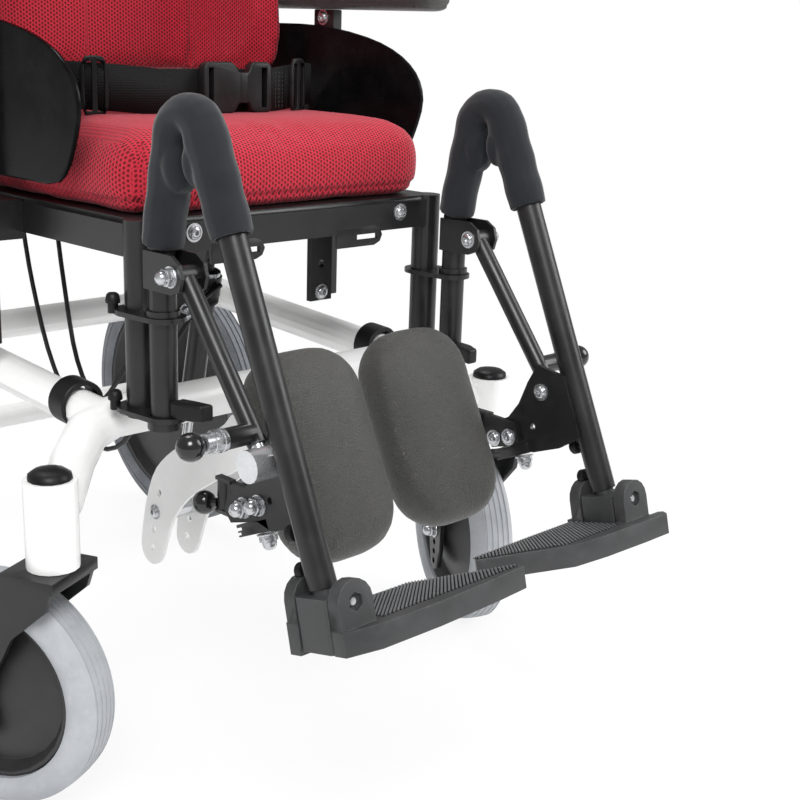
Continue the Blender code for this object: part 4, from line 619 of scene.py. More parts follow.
def stuff(piece, keep, voxel, shrink, cap, pressure):
    """Remeshes a pad, swells it as filled cloth, and holds each point near its place and on its seat."""
    last_frame = 20
    low, high = Vector(piece.bound_box[0]), Vector(piece.bound_box[6])
    middle = (low + high) / 2
    for vertex in piece.data.vertices:
        vertex.co = middle + Vector([part * shrink for part in vertex.co - middle])
    bake_modifier(piece, "REMESH", {"mode": "VOXEL", "voxel_size": voxel})
    bake_modifier(piece, "SMOOTH", {"factor": 0.5, "iterations": 4})
    start = [vertex.co.copy() for vertex in piece.data.vertices]
    pick_up(piece)
    cloth = piece.modifiers.new("stuffing", "CLOTH")
    cloth.settings.use_pressure = True
    cloth.settings.uniform_pressure_force = pressure
    cloth.settings.effector_weights.gravity = 0.0
    cloth.point_cache.frame_start = 1
    cloth.point_cache.frame_end = last_frame
    for step in range(1, last_frame + 1):
        bpy.context.scene.frame_set(step)
    bpy.ops.object.modifier_apply(modifier="stuffing")
    bpy.context.scene.frame_set(1)
    for vertex, first in zip(piece.data.vertices, start):
        moved = vertex.co - first
        if moved.length > cap:
            moved = moved * (cap / moved.length)
        vertex.co = keep(first + moved)
    bake_modifier(piece, "SMOOTH", {"factor": 0.4, "iterations": 2})
    bake_modifier(piece, "SUBSURF", {"levels": 1, "render_levels": 1})
    soften(piece, 80.0)


def press_seam(piece, distance, depth, width):
    """Presses a sewn line into a pad; distance tells how far a point is from the line."""
    faces = [vertex.normal.copy() for vertex in piece.data.vertices]
    for vertex, face in zip(piece.data.vertices, faces):
        gap = distance(vertex.co)
        if gap < 3.0 * width:
            vertex.co -= face * (depth * exp(-(gap / width) ** 2))


def make_pad(cover_name, node, filling, keep, seams, cloth, spread=None):
    """Soft pad: a solid swollen with its filling, sewn along its seams and covered in cloth.
    A seam is a rule for the distance from it, its depth and its width."""
    piece = copy_of_node(cover_name, node)
    stuff(piece, keep, **filling)
    for distance, depth, width in seams:
        press_seam(piece, distance, depth, width)
    if spread:
        lay_cloth(piece, spread)
    fit(piece, BODY_OF[node], cloth, node)


def make_seat_cushion():
    low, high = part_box("seat_cushion")
    rim = low.z + 0.01

    def lower_seam(point):
        return abs(point.z - rim) if point.z < rim + 0.02 else FAR

    def corner_seam(point):
        if point.y > low.y + 0.04 or abs(point.x) < high.x - 0.04 or point.z > high.z - 0.012:
            return FAR
        return abs((abs(point.x) - high.x) + (point.y - low.y)) * 0.7

    def spread(point, normal):
        drop = high.z - point.z
        if abs(normal.x) > 0.72:
            return (point.y * 0.5 + drop * 0.866, drop * 0.5 - point.y * 0.866)
        if normal.y > 0.6:
            return (point.x, point.y + drop)
        return (point.x, point.y - drop)

    seams = ((lower_seam, 0.0018, 0.0024), (corner_seam, 0.002, 0.0024))
    filling = dict(voxel=0.005, shrink=0.995, cap=0.006, pressure=3.0)
    keep = held(low.z, high.z + 0.002)
    make_pad("seat_cushion_cover", "seat_cushion", filling, keep, seams, RED_MESH, spread)


def make_back_cushion():
    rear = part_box("back_cushion")[1].y

    def wing_seam(point):
        return abs(abs(point.x) - WING_X) if point.y < 0.17 else FAR

    def edge_seam(point):
        return abs(point.y - (rear - 0.018))

    def spread(point, normal):
        out = copysign(1.0, point.x)
        reach = point.x + out * (BACK_FACE_Y - point.y)
        if abs(point.x) > WING_X:
            return (reach * 0.5 + out * point.z * 0.866, point.z * 0.5 - out * reach * 0.866)
        return (reach, point.z)

    seams = ((wing_seam, 0.0022, 0.0026), (edge_seam, 0.0018, 0.0026))
    filling = dict(voxel=0.0055, shrink=0.992, cap=0.005, pressure=3.0)
    make_pad("back_cushion_cover", "back_cushion", filling, held(rear=rear), seams, RED_MESH, spread)


def make_head_pad():
    low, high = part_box("head_pad")

    def edge_seam(point):
        return abs(point.y - (high.y - 0.014))

    def spread(point, normal):
        if abs(normal.z) > 0.7:
            return (point.x, point.y)
        reach = abs(point.x)
        if point.y > (low.y + high.y) / 2:
            reach = 2.0 * high.x - reach
        return (copysign(reach + point.y - low.y, point.x), point.z)

    filling = dict(voxel=0.0042, shrink=0.985, cap=0.005, pressure=4.0)
    seams = ((edge_seam, 0.0016, 0.0022),)
    make_pad("head_pad_cover", "head_pad", filling, held(rear=high.y), seams, RED_MESH, spread)


def make_calf_pad(name, side):
    lean = radians(26.0)
    middle = Vector((side * 0.0645, -0.2886, 0.291))
    away = Vector((0.0, cos(lean), -sin(lean)))

    def rear_seam(point):
        return abs((point - middle).dot(away) - 0.0125)

    filling = dict(voxel=0.004, shrink=0.985, cap=0.003, pressure=2.0)
    seams = ((rear_seam, 0.001, 0.0016),)
    make_pad("calf_pad_cover_" + name, "calf_pad_" + name, filling, held(), seams, HIDE_PAD)


def make_arm_pad(name):
    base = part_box("arm_pad_" + name)[0].z

    def base_seam(point):
        return abs(point.z - base - 0.006)

    filling = dict(voxel=0.004, shrink=0.985, cap=0.0025, pressure=2.0)
    seams = ((base_seam, 0.001, 0.0016),)
    make_pad("arm_pad_cover_" + name, "arm_pad_" + name, filling, held(base), seams, HIDE_PAD)


def make_knee_sleeve(name, side):
    """Foam sleeve bent over the knee, creased where its two runs meet."""
    x = side * LEG_X
    half_width = 0.0158
    fold_y = -0.2575
    fold_width = 0.004
    fold_depth = 0.0036
    lip_off = 0.0105
    lip_width = 0.006
    lip_height = 0.0012
    parts = [copy_of_node("knee_sleeve_" + name, "knee_foam_" + name)]
    lumps = ((-0.244, 0.525, 0.0125, 0.02), (-0.27, 0.53, 0.012, 0.018))
    for centre_y, centre_z, deep, tall in lumps:
        put_down()
        bpy.ops.mesh.primitive_uv_sphere_add(segments=24, ring_count=16, radius=1.0)
        lump = name_piece("fold_lump")
        middle = moved_to((x, centre_y, centre_z))
        carry(lump, middle @ Matrix.Diagonal((half_width, deep, tall, 1.0)))
        parts.append(lump)
    piece = gather("knee_sleeve_" + name, parts)
    bake_modifier(piece, "REMESH", {"mode": "VOXEL", "voxel_size": 0.0018})
    bake_modifier(piece, "SMOOTH", {"factor": 0.5, "iterations": 10})
    faces = [vertex.normal.copy() for vertex in piece.data.vertices]
    for vertex, face in zip(piece.data.vertices, faces):
        point = vertex.co.copy()
        rise = clamped((0.56 - point.z) / 0.028) * clamped((point.z - 0.494) / 0.014)
        off = point.y - fold_y
        crease = exp(-(off / fold_width) ** 2) * fold_depth
        lips = exp(-((abs(off) - lip_off) / lip_width) ** 2) * lip_height
        if abs(abs(point.x) - LEG_X) > 0.004:
            point = point - face * ((crease - lips) * rise)
        puff = sin(point.z * 210.0 + point.y * 90.0) * 0.00035
        vertex.co = point + face * puff
    bake_modifier(piece, "SMOOTH", {"factor": 0.4, "iterations": 2})
    soften(piece, 70.0)
    cover(piece, NEOPRENE)
    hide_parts("knee_foam_" + name)
    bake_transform(piece)


def make_belt():
    piece = copy_of_node("pelvic_belt_strap", "pelvic_belt")
    edit_all()
    bpy.ops.mesh.subdivide(number_cuts=1)
    done_editing()
    soften(piece, 50.0)

    def spread(point, normal):
        run = point.x if abs(normal.y) > abs(normal.x) else point.y
        return (run, point.z)

    lay_cloth(piece, spread)
    fit(piece, BODY_OF["pelvic_belt"], STRAP, "pelvic_belt")


# Belt buckle in two interlocking halves, with its sliders and stitching
def make_buckle():
    low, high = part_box("belt_buckle")
    stand = moved_to((0.0, high.y, low.z)) @ ON_EDGE
    catch_half = mm((-21, 6), (-19, 2), (-14, 0), (10, 0), (15, 3.5), (17.5, 8), (21, 10), (21, 36),
                    (17.5, 38), (15, 42.5), (10, 46), (-14, 46), (-19, 44), (-21, 40))
    tongue_half = mm((27, 11), (30, 8.5), (32.5, 3), (37, 0), (53, 0), (57, 4), (57, 42), (53, 46),
                     (37, 46), (32.5, 43), (30, 37.5), (27, 35))
    web = mm((17, 9.5), (31, 9.5), (31, 36.5), (17, 36.5))
    catch = cut_plate("buckle_catch", catch_half, 0.0115, stand, 0.0022, 3)
    tongue = cut_plate("buckle_tongue", tongue_half, 0.011, stand, 0.0022, 3)
    middle = cut_plate("buckle_web", web, 0.0104, stand, 0.001)
    front = high.y - 0.0145
    base = low.z + 0.005
    top = low.z + 0.041
    mill_slot(tongue, (0.044, front, base), (0.0505, high.y - 0.003, top))
    mill_slot(catch, (-0.0165, front, base), (-0.011, high.y - 0.004, top))
    for piece in (catch, tongue):
        round_edges(piece, 0.0005, 2, 50.0)
    piece = gather("belt_buckle_halves", [catch, tongue, middle])
    fit(piece, BODY_OF["belt_buckle"], PLASTIC, "belt_buckle")


def make_slider(name, centre, turn, width, height=0.052, thickness=0.0036):
    """Flat frame with a middle bar that the strap is threaded through."""
    outline = []
    for k in range(16):
        angle = 2.0 * pi * k / 16 + pi / 16
        square = max(abs(cos(angle)), abs(sin(angle)))
        blend = 0.82 / square + 0.18
        outline.append((cos(angle) * blend * width / 2, sin(angle) * blend * height / 2))
    piece = cut_plate(name, outline, thickness, moved_to((0.0, 0.0, -thickness / 2)), 0.001)
    for shift in (-0.22, 0.22):
        low = ((shift - 0.13) * width, -height * 0.4, -0.01)
        mill_slot(piece, low, ((shift + 0.13) * width, height * 0.4, 0.01))
    round_edges(piece, 0.0005, 2, 50.0)
    carry(piece, moved_to(centre) @ Matrix.Rotation(radians(turn), 4, "Z") @ ON_EDGE)
    fit(piece, BODY_OF["pelvic_belt"], PLASTIC)


def make_belt_fittings():
    make_slider("belt_slider_right", (-0.1165, -0.052, 0.5724), -27.0, 0.024)
    make_slider("belt_slider_left", (0.101, -0.064, 0.5718), 20.0, 0.026)
    stitch = rod("stitch", 6, 0.00045, 0.0026)
    edit_all()
    bpy.ops.mesh.bevel(offset=0.0002, segments=1)
    done_editing()
    spots = []
    for column in (0.072, 0.0775, 0.083):
        for row in range(9):
            lift = 0.554 + row * 0.0038
            spots.append(((column, -0.0692 + (column - 0.062) * 0.3, lift), UP))
    fasten("belt_stitching", stitch, BODY_OF["pelvic_belt"], spots, THREAD)
    bpy.data.objects.remove(stitch)


# Wheels
def beside(side, point):
    """A point of the left half, on the side that is asked for."""
    return Vector((side * point[0], point[1], point[2]))


def caster_place(side):
    return at(beside(side, CASTER_HUB), (cos(CASTER_TURN), -side * sin(CASTER_TURN), 0.0))


def axle_of(place):
    return place.to_3x3() @ Vector(UP)


def tyre_section(shoulder, tread, grooves, depth):
    """Section of a tyre: its bore, one shoulder, a shallow crown with narrow grooves, the other shoulder."""
    crown_drop = 0.0022
    half_width = 0.02
    points = list(shoulder)
    for spot in grooves:
        crown = tread - crown_drop * (spot / half_width) ** 2
        points += [(crown, spot - 0.0011), (crown - depth, spot - 0.0007),
                   (crown - depth, spot + 0.0007), (crown, spot + 0.0011)]
    return points + [(radius, -across) for radius, across in reversed(shoulder[2:])]


def make_wheels(name, side):
    shoulder = mm((74.4, 19), (74.4, -19), (78.5, -21.8), (85, -22.4), (91.2, -20.5), (95.5, -17))
    section = tyre_section(shoulder, 0.0999, (-0.012, -0.006, 0.0, 0.006, 0.012), 0.0009)
    place = caster_place(side)
    piece = turned("caster_tyre_band_" + name, section, place, steps=72, closed=True, degrees=32.0)
    fit(piece, "caster_wheel_" + name, TYRE, "caster_tyre_" + name)
    rear = "rear_wheel_" + name
    hub = beside(side, REAR_AXLE)
    shoulder = mm((126.4, 18.5), (126.4, -18.5), (131, -21.2), (138, -21.9), (138.6, -20.8),
                  (140.2, -20.8), (140.8, -21.7), (146.5, -20.5), (147.1, -19.2), (148.8, -18.8),
                  (149.6, -19.3), (154.5, -16))
    section = tyre_section(shoulder, 0.1599, (-0.0105, -0.0035, 0.0035, 0.0105), 0.0016)
    place = at(hub, (1.0, 0.0, 0.0))
    piece = turned("rear_tyre_band_" + name, section, place, steps=96, closed=True, degrees=30.0)
    fit(piece, rear, REAR_TYRE, "rear_tyre_" + name)
    outside = at(hub, (side, 0.0, 0.0))
    cap = mm((0, 21.2), (16.5, 21.2), (17.2, 22.6), (16.6, 24.4), (13, 25.6), (11.8, 25), (0, 25.4))
    piece = turned("rear_hub_cap_" + name, cap, outside, steps=40, degrees=30.0)
    fit(piece, rear, PLASTIC)
    bead = mm((-2.2, -1.2), (2.2, -1.8), (1.6, 1), (0, 1.6), (-1.6, 1.3))
    beads = []
    for radius, height in ((0.046, 0.018), (0.088, 0.0116)):
        ring = [(radius + wide, height + tall) for wide, tall in bead]
        beads.append(turned("rim_bead", ring, outside, steps=72, closed=True, degrees=50.0))
    fit(gather("rear_rim_beads_" + name, beads), rear, RIM)
    for part in ("caster_rim_", "rear_rim_"):
        piece = copy_of_node(part + "shell_" + name, part + name)
        round_edges(piece, 0.001, 2, 40.0)
        fit(piece, BODY_OF[part + name], RIM, part + name)
    fork = copy_of_node("caster_fork_plates_" + name, "caster_fork_" + name)
    place = caster_place(side)
    holes = [place.translation - Vector((0.0, 0.0, drop)) for drop in (0.014, 0.025, 0.036)]
    drill(fork, holes, axle_of(place), 0.0034, 0.09)
    round_edges(fork, 0.0007, 2, 45.0)
    fit(fork, "caster_" + name, BLACK, "caster_fork_" + name)


# Fasteners, each modelled once
def acorn_pattern():
    washer = turned("washer", mm((0, 0), (8.4, 0), (8.6, 0.3), (8.4, 1.2), (0, 1.2)), steps=28)
    body = hexagon("hexagon", 0.0075, 0.0052, 0.0038)
    dome = turned("dome", mm((5.8, 6), (5.8, 8), (5.2, 10.4), (3.8, 12.2), (2, 13.1), (0, 13.4)),
                  steps=28, degrees=60.0)
    return gather("acorn nut", [washer, body, dome])


def button_pattern():
    head = turned("button screw", mm((0, 0), (7.8, 0), (7.8, 1), (6, 1), (5.8, 2.2), (4.6, 3.7),
                                     (2.8, 4.4), (0, 4.4)), steps=28)
    drill(head, [(0.0, 0.0, 0.004)], UP, 0.0023, 0.004, 6)
    return head


def thumb_pattern():
    """Short black clamp screw with a round, slightly hollow head."""
    return turned("clamp screw", mm((0, -2), (3.6, -2), (3.6, 3), (6.2, 3.4), (6.8, 4.4), (6.8, 9.2),
                                    (6, 10.2), (3, 9.8), (0, 9.8)), steps=28)


def pin_pattern():
    return turned("plate pin", mm((0, -4), (4.2, -4), (4.2, 4), (5.8, 4.2), (6, 6.2), (5, 10.8),
                                  (3.4, 12.2), (0, 12.6)), steps=24)


def hinge_end_pattern():
    return turned("hinge pin end", mm((0, 0), (3.2, 0), (3.2, 1.8), (2.6, 2.6), (0, 2.8)), steps=20)


def fasten(name, pattern, body, spots, material=ZINC):
    """Fits copies of a fastener as one piece; a spot is a point and the way the head looks."""
    copies = []
    for point, way in spots:
        copy = twin(name, pattern.data)
        carry(copy, at(point, way))
        copies.append(copy)
    fit(gather(name, copies), body, material)


def leg_point(side, along, off=0.0):
    """Point along the front tube from the knee, and off its middle line to the front."""
    down = Vector((0.0, -sin(LEG_LEAN), -cos(LEG_LEAN)))
    front = Vector((0.0, -cos(LEG_LEAN), sin(LEG_LEAN)))
    return Vector((side * LEG_X, KNEE.y, KNEE.z)) + down * along + front * off


def foot_place(side):
    """Place of a footplate's hinge, with its x and y axes in the plate."""
    centre = leg_point(side, LEG_LENGTH + 0.021)
    return moved_to(centre) @ Matrix.Rotation(-FOOT_LEAN, 4, "X")


def make_fasteners(name, side, acorn, button, thumb, pin, hinge_end):
    hanger = "hanger_" + name
    leg = "leg_" + name
    out = (side, 0.0, 0.0)
    inward = (-side, 0.0, 0.0)

    def add(label, pattern, body, way, *points, material=ZINC):
        spots = [(beside(side, point), way) for point in points]
        fasten(label + name, pattern, body, spots, material)

    add("clevis_nut_", acorn, hanger, out, (0.1785, CLEVIS.y, CLEVIS.z))
    add("clevis_screw_", button, hanger, inward, (0.1525, CLEVIS.y, CLEVIS.z))
    add("rail_screw_", button, "seat", FORWARD, (0.117, RAIL_FRONT_Y, 0.465))
    add("gusset_nuts_", acorn, leg, out, (0.1555, -0.306, 0.271), (0.1555, -0.324, 0.278))
    add("gusset_screws_", button, leg, inward, (0.1478, -0.2945, 0.265), (0.1478, -0.312, 0.27),
        (0.1515, STRUT_END.y, STRUT_END.z))
    rear = Vector((0.0, cos(LEG_LEAN), -sin(LEG_LEAN)))
    spots = [(leg_point(side, LEG_LENGTH - rise, -TUBE_R), rear) for rise in (0.014, 0.042)]
    fasten("foot_clamp_screws_" + name, thumb, leg, spots, PLASTIC)
    place = foot_place(side)
    spots = []
    for turn in (-1.0, 1.0):
        way = place.to_3x3() @ Vector((0.0, turn, 0.0))
        spots.append((place @ Vector((0.0, turn * 0.0246, 0.013)), way))
    fasten("foot_hinge_pin_ends_" + name, hinge_end, "foot_" + name, spots)
    add("receiver_pins_", pin, "seat", UP, (0.179, -0.1685, 0.407), (0.179, -0.1685, 0.327),
        material=PLASTIC)
    add("bar_bolt_", button, "seat", FORWARD, (0.079, -0.1276, 0.384))
    place = caster_place(side)
    axle = axle_of(place)
    spots = [(place.translation + way * 0.0317, way) for way in (axle, -axle)]
    fasten("caster_axle_nuts_" + name, acorn, "caster_" + name, spots)
    add("bracket_screw_", button, "base", out, (0.024, 0.0034, 0.148))
    add("arm_post_screw_", button, "arm_" + name, inward, (0.1921, 0.0024, 0.637))


# Leg rest fittings
def make_lock_fittings(name, side):
    """Bright plunger housing on the strut's lock boss, and the ball that is pulled."""
    boss_from_end = 0.0244
    strut = STRUT_END - CLEVIS
    boss = CLEVIS + strut.normalized() * (strut.length - boss_from_end)
    way = (side, 0.0, 0.0)
    ring = turned("plunger ring", mm((3.6, 0), (8.6, 0), (8.8, 0.4), (8.8, 3.4), (8.2, 4), (8.2, 10.8),
                                     (7.4, 11.4), (7.4, 17.8), (6.6, 18.4), (3.6, 18.4)), steps=28)
    nut = hexagon("plunger nut", 0.0092, 0.0058, 0.0072)
    piece = gather("lock_plunger_nut_" + name, [ring, nut])
    carry(piece, at((side * (LEG_X + 0.0268), boss.y, boss.z), way))
    fit(piece, "strut_" + name, ZINC)
    low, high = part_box("lock_knob_" + name)
    tip = high.x if side > 0 else -low.x
    ball = 0.0107
    neck = tip - 2.0 * ball - 0.001
    stem = [(0.0, neck - 0.02), (0.0029, neck - 0.02), (0.0029, neck), (0.005, neck + 0.0004)]
    profile = ball_on_stem(stem, 3, tip - ball, ball)
    piece = turned("lock_knob_ball_" + name, profile, at((0.0, boss.y, boss.z), way), steps=36, degrees=60.0)
    fit(piece, "knob_" + name, KNOB, "lock_knob_" + name)


def make_gusset_fittings(name, side, acorn):
    """Ball that locks the calf arm, and the slotted channel with its nut below the gusset."""
    leg = "leg_" + name
    profile = ball_on_stem(mm((0, 0), (4, 0), (4, 5.2), (5.4, 5.6)), 4, 0.0128, 0.0098)
    place = at((side * 0.152, -0.269, 0.264), (side * 0.35, 0.9, -0.15))
    piece = turned("calf_lock_ball_" + name, profile, place, degrees=60.0)
    fit(piece, leg, KNOB)
    outline = mm((0, 0), (40, 0), (40, 10), (0, 10), (0, 7.4), (6, 7.4), (6, 5), (0, 5),
                 (0, 3.6), (4, 3.6), (4, 1.6), (0, 1.6))
    corner = moved_to((side * 0.1475, -0.3, 0.2445))
    lean = Matrix.Rotation(radians(-24.0), 4, "X")
    turn = Matrix(((0.0, 0.0, side, 0.0), (-1.0, 0.0, 0.0, 0.0), (0.0, 1.0, 0.0, 0.0), (0.0, 0.0, 0.0, 1.0)))
    piece = cut_plate("gusset_channel_" + name, outline, 0.008, corner @ lean @ turn, 0.0005)
    fit(piece, leg, BLACK)
    spots = [((side * 0.151, -0.329, 0.256), (0.0, -0.3, -0.95))]
    fasten("gusset_channel_nut_" + name, acorn, leg, spots)


def tread_edges(side, across, reach):
    """Front and rear limits of the ribbed field, at a distance inward of the leg tube."""
    if side < 0:
        bend = 0.1005
        front = -0.028 - 0.004 * (across - 0.02) / reach
        rear = 0.0243
        if across > bend:
            rear -= 0.0558 * (across - bend) / (reach - bend)
        return front, rear
    bend = 0.0955
    front = -0.027
    if across > bend:
        front = -0.0265 + 0.048 * (across - bend) / (reach - bend)
    return front, 0.0256


def make_footplate(name, side):
    """Rounded plate with slanting ribs, lightened as a painted highlight, over a darker grooved field of
    painted shade.
    """
    body = "plate_" + name
    plate = copy_of_node("footplate_body_" + name, "footplate_" + name)
    round_edges(plate, 0.003, 3, 42.0)
    fit(plate, body, TREAD, "footplate_" + name)
    place = foot_place(side)
    top = -0.005
    reach = LEG_X - side * FOOT_SPLIT_X - 0.001
    leg_end = 0.0245
    tip_end = reach - 0.004
    spacing = 0.0042
    rib_radius = 0.00095
    trace_from = -0.034
    trace_step = 0.0005
    lean_at_leg, lean_at_tip = (41.0, 50.0) if side < 0 else (58.0, 45.0)
    rib = rod("rib", 10, rib_radius, 1.0)
    edit_all()
    bpy.ops.transform.rotate(value=radians(90.0), orient_axis="X", center_override=(0.0, 0.0, 0.0))
    done_editing()
    ribs = []
    for k in range(-30, 60):
        start = leg_end + k * spacing
        share = clamped((start - leg_end) / reach)
        lean = radians(lean_at_leg + (lean_at_tip - lean_at_leg) * share)
        inside = []
        for step in range(280):
            x = -side * start + cos(lean) * step * trace_step
            y = trace_from + sin(lean) * step * trace_step
            across = -side * x
            front, rear = tread_edges(side, across, reach)
            if leg_end < across < tip_end and front < y < rear:
                inside.append((x, y))
        if len(inside) < 8:
            continue
        first = Vector(inside[0])
        last = Vector(inside[-1])
        middle = (first + last) / 2
        copy = twin("rib", rib.data)
        turn = Matrix.Rotation(lean - pi / 2, 4, "Z")
        stretch = Matrix.Diagonal((1.0, (last - first).length, 1.2, 1.0))
        carry(copy, place @ moved_to((middle.x, middle.y, top + 0.0003)) @ turn @ stretch)
        ribs.append(copy)
    bpy.data.objects.remove(rib)
    piece = gather("footplate_ribs_" + name, ribs)
    soften(piece, 60.0)
    # The ribs are lighter than the plate: a painted highlight.
    fit(piece, body, HIGHLIT_RIB)
    # A thin dark sheet under the ribs: painted shade in the grooves.
    fronts = []
    rears = []
    for k in range(25):
        across = leg_end + (tip_end - leg_end) * k / 24
        front, rear = tread_edges(side, across, reach)
        if rear - front > 0.003:
            fronts.append((-side * across, front))
            rears.append((-side * across, rear))
    under = place @ moved_to((0.0, 0.0, top - 0.0002))
    groove_shade_sheet = cut_plate("footplate_groove_shade_" + name, fronts + rears[::-1], 0.0006, under, 0.0)
    fit(groove_shade_sheet, body, GROOVE_SHADE)


def make_gas_head():
    """Knurled collar and bright sleeve at the top of the tilt spring."""
    way = (TILT_EYE - TILT_TOP).normalized()
    collar = [(11.1, 0)]
    for k in range(5):
        base = 1 + k * 3.8
        collar += [(13.8, base), (13.8, base + 2.6), (13, base + 3), (13, base + 3.6)]
    collar.append((11.1, 20))
    place = at(TILT_TOP + way * 0.03, way)
    piece = turned("tilt_spring_collar", mm(*collar), place, steps=36, closed=True, degrees=30.0)
    fit(piece, "tilt_cylinder", PLASTIC)
    sleeve = mm((11.1, 0), (12.2, 0), (12.6, 0.6), (12.6, 11), (12.2, 11.6), (11.1, 11.6))
    piece = turned("tilt_spring_sleeve", sleeve, at(TILT_TOP + way * 0.018, way), steps=36, closed=True)
    fit(piece, "tilt_cylinder", ZINC)


def make_underseat_fittings():
    """Slotted brackets below the seat's front, and the clips round the base's side tubes."""
    outline = mm((-30, -9), (16, -9), (23, -6), (26, 0), (23, 6), (16, 9), (-30, 9))
    ring = mm((16.7, -11), (20, -11), (20.6, -10.4), (20.6, 10.4), (20, 11), (16.7, 11))
    along = Vector((0.0, 0.366, 0.023)).normalized()
    for name, side in SIDES:
        x = side * 0.069
        stand = moved_to((x, -0.189, 0.4462)) @ ON_EDGE
        piece = cut_plate("seat_slot_bracket_" + name, outline, 0.004, stand)
        mill_slot(piece, (x - 0.006, -0.21, 0.4432), (x + 0.02, -0.17, 0.4482))
        fit(piece, "seat", BLACK)
        place = at((side * 0.176, -0.1036, 0.3145), along)
        piece = turned("side_tube_clip_" + name, ring, place, closed=True)
        fit(piece, "base", PLASTIC)


def make_grip(name, side):
    low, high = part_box("handle_grip_" + name)
    length = high.y - low.y
    ribs = [(12.8, 0), (15.8, 0), (17.2, 1), (17.2, 4)]
    for k in range(11):
        spot = 7 + k * 8.4
        ribs += [(15.2, spot), (16.3, spot + 2), (16.3, spot + 5.6), (15.2, spot + 7.6)]
    profile = mm(*ribs) + [(0.016, length - 0.003), (0.0135, length - 0.0006), (0.0, length)]
    place = at((side * 0.14, low.y, 1.03), (0.0, 1.0, 0.0))
    piece = turned("handle_grip_sleeve_" + name, profile, place, steps=36)
    fit(piece, "back", RUBBER, "handle_grip_" + name)


# Pieces whose solid has the right shape: a copy with rounded edges and smooth tubes
def dress_solid(node, material, edge=0.0, degrees=28.0, slot=None):
    piece = copy_of_node(node + "_body", node)
    edit_all()
    bpy.ops.mesh.dissolve_limited(angle_limit=radians(0.4))
    done_editing()
    if edge:
        round_edges(piece, edge, 2, degrees)
    else:
        soften(piece, degrees)
    bake_modifier(piece, "WEIGHTED_NORMAL", {"keep_sharp": True, "weight": 60})
    fit(piece, BODY_OF[node], material, node, slot=slot)


def dress_solids():
    dress_solid("base_frame", WHITE)
    dress_solid("front_brackets", WHITE, 0.001)
    dress_solid("seat_frame", BLACK)
    dress_solid("back_frame", BLACK)
    dress_solid("head_bar", BLACK, 0.001)
    for spring in ("tilt_gas", "recline_gas"):
        dress_solid(spring + "_cylinder", BLACK)
        dress_solid(spring + "_rod", CHROME)
    for cable in ("tilt_cable", "recline_cable"):
        dress_solid(cable, SHEATH, degrees=60.0)
    for name, _ in SIDES:
        dress_solid("barrel_cap_" + name, PLASTIC, degrees=60.0)
        dress_solid("arm_post_" + name, BLACK, 0.0012)
        dress_solid("side_panel_" + name, PANEL, 0.0016)
        dress_solid("release_lever_" + name, BLACK, 0.0008)
        for tube in ("hanger_", "leg_tube_", "strut_tube_"):
            dress_solid(tube + name, BLACK)
        dress_solid("strut_rod_" + name, CHROME, 0.0006)
        dress_solid("catch_" + name, PLASTIC, 0.0024)
        dress_solid("calf_arm_" + name, BLACK)
        dress_solid("foot_block_" + name, TREAD, 0.0012, slot="black_plastic")


# Floor, light and sky
def rays_of(tree, first, *others):
    """One for the kinds of ray that are named, nought for the rest."""
    path = tree.nodes.new("ShaderNodeLightPath").outputs
    seen = path[first]
    for kind in others:
        seen = maths(tree, "MAXIMUM", seen, path[kind])
    return seen


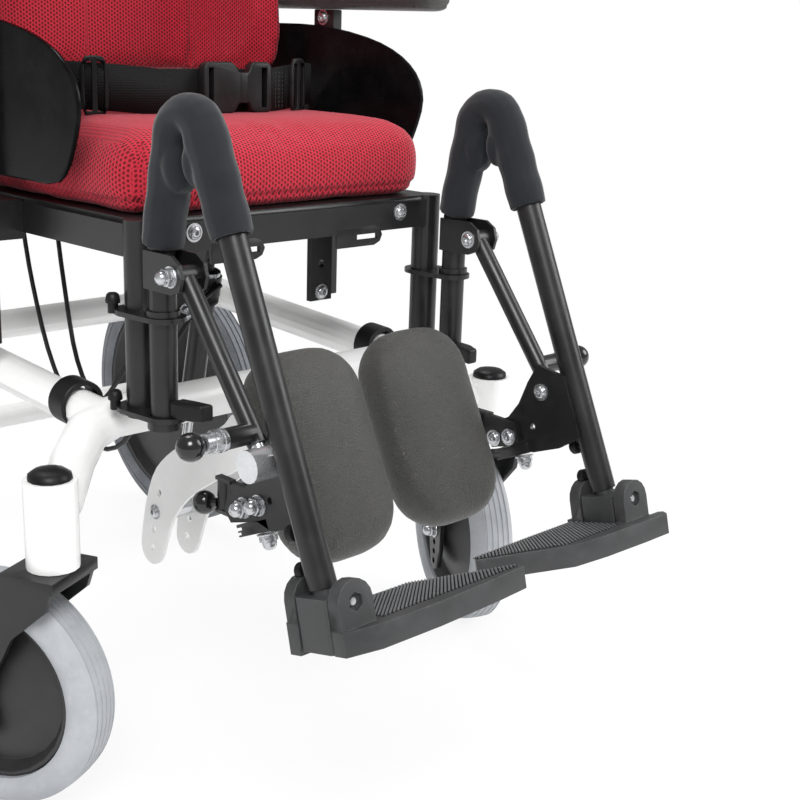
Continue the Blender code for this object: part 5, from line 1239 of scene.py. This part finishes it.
def make_floor():
    """Pale floor that takes soft shadows near the chair and fades into the sky further off."""
    put_down()
    below = (0.0, 0.0, -0.0002)
    bpy.ops.mesh.primitive_circle_add(vertices=64, radius=6.0, fill_type="NGON", location=below)
    floor = name_piece("studio_floor")
    fixed = {"Base Color": (0.9, 0.9, 0.9, 1.0), "Roughness": 0.9, "Specular IOR Level": 0.1}
    material, tree, shader = start_material("pale floor", fixed)
    glow = add_node(tree, "Emission", "Emission", {"Strength": 1.0})
    seen = rays_of(tree, "Is Camera Ray", "Is Glossy Ray", "Is Transmission Ray")
    distance = add_node(tree, "VectorMath", "Value", {0: object_place(tree)}, operation="LENGTH")
    share = product(tree, seen, ramp_of(tree, distance, 0.3, 1.3, 0.88, 1.0))
    mixed = add_node(tree, "MixShader", "Shader", {"Fac": share, 1: shader.outputs["BSDF"], 2: glow})
    tree.links.new(mixed, tree.nodes["Material Output"].inputs["Surface"])
    floor.data.materials.append(material)


def make_sky():
    """White sky where it is seen, dimmer as a light and dimmest in reflections."""
    world = bpy.data.worlds.new("studio sky")
    bpy.context.scene.world = world
    world.use_nodes = True
    tree = world.node_tree
    sky = tree.nodes["Background"]
    sky.inputs["Color"].default_value = (1.0, 1.0, 1.0, 1.0)
    seen = rays_of(tree, "Is Camera Ray", "Is Transmission Ray")
    shine = product(tree, rays_of(tree, "Is Glossy Ray"), 0.36)
    level = maths(tree, "SUBTRACT", ramp_of(tree, seen, 0.0, 1.0, 0.68, 1.0), shine)
    tree.links.new(level, sky.inputs["Strength"])


def make_lamps():
    target = Vector((0.0, -0.1, 0.4))
    lamps = (("key lamp", (-1.5, -1.9, 2.5), 1.4, 70.0), ("fill lamp", (1.9, -1.6, 1.7), 1.6, 35.0),
             ("top lamp", (0.2, 0.9, 2.9), 1.6, 40.0))
    for label, place, size, power in lamps:
        bpy.ops.object.light_add(type="AREA", location=place)
        lamp = bpy.context.active_object
        lamp.name = label
        lamp.data.shape = "DISK"
        lamp.data.size = size
        lamp.data.energy = power
        lamp.rotation_euler = (target - Vector(place)).to_track_quat("-Z", "Y").to_euler()


put_down()
place_camera()
make_floor()
make_sky()
make_lamps()
bpy.context.scene.view_settings.view_transform = "Standard"
make_seat_cushion()
make_back_cushion()
make_head_pad()
make_belt()
make_buckle()
make_belt_fittings()
make_gas_head()
make_underseat_fittings()
patterns = [acorn_pattern(), button_pattern(), thumb_pattern(), pin_pattern(), hinge_end_pattern()]
for side_name, side_sign in SIDES:
    make_calf_pad(side_name, side_sign)
    make_arm_pad(side_name)
    make_knee_sleeve(side_name, side_sign)
    make_wheels(side_name, side_sign)
    make_fasteners(side_name, side_sign, *patterns)
    make_lock_fittings(side_name, side_sign)
    make_gusset_fittings(side_name, side_sign, patterns[0])
    make_footplate(side_name, side_sign)
    make_grip(side_name, side_sign)
for pattern_piece in patterns:
    bpy.data.objects.remove(pattern_piece)
dress_solids()
put_down()
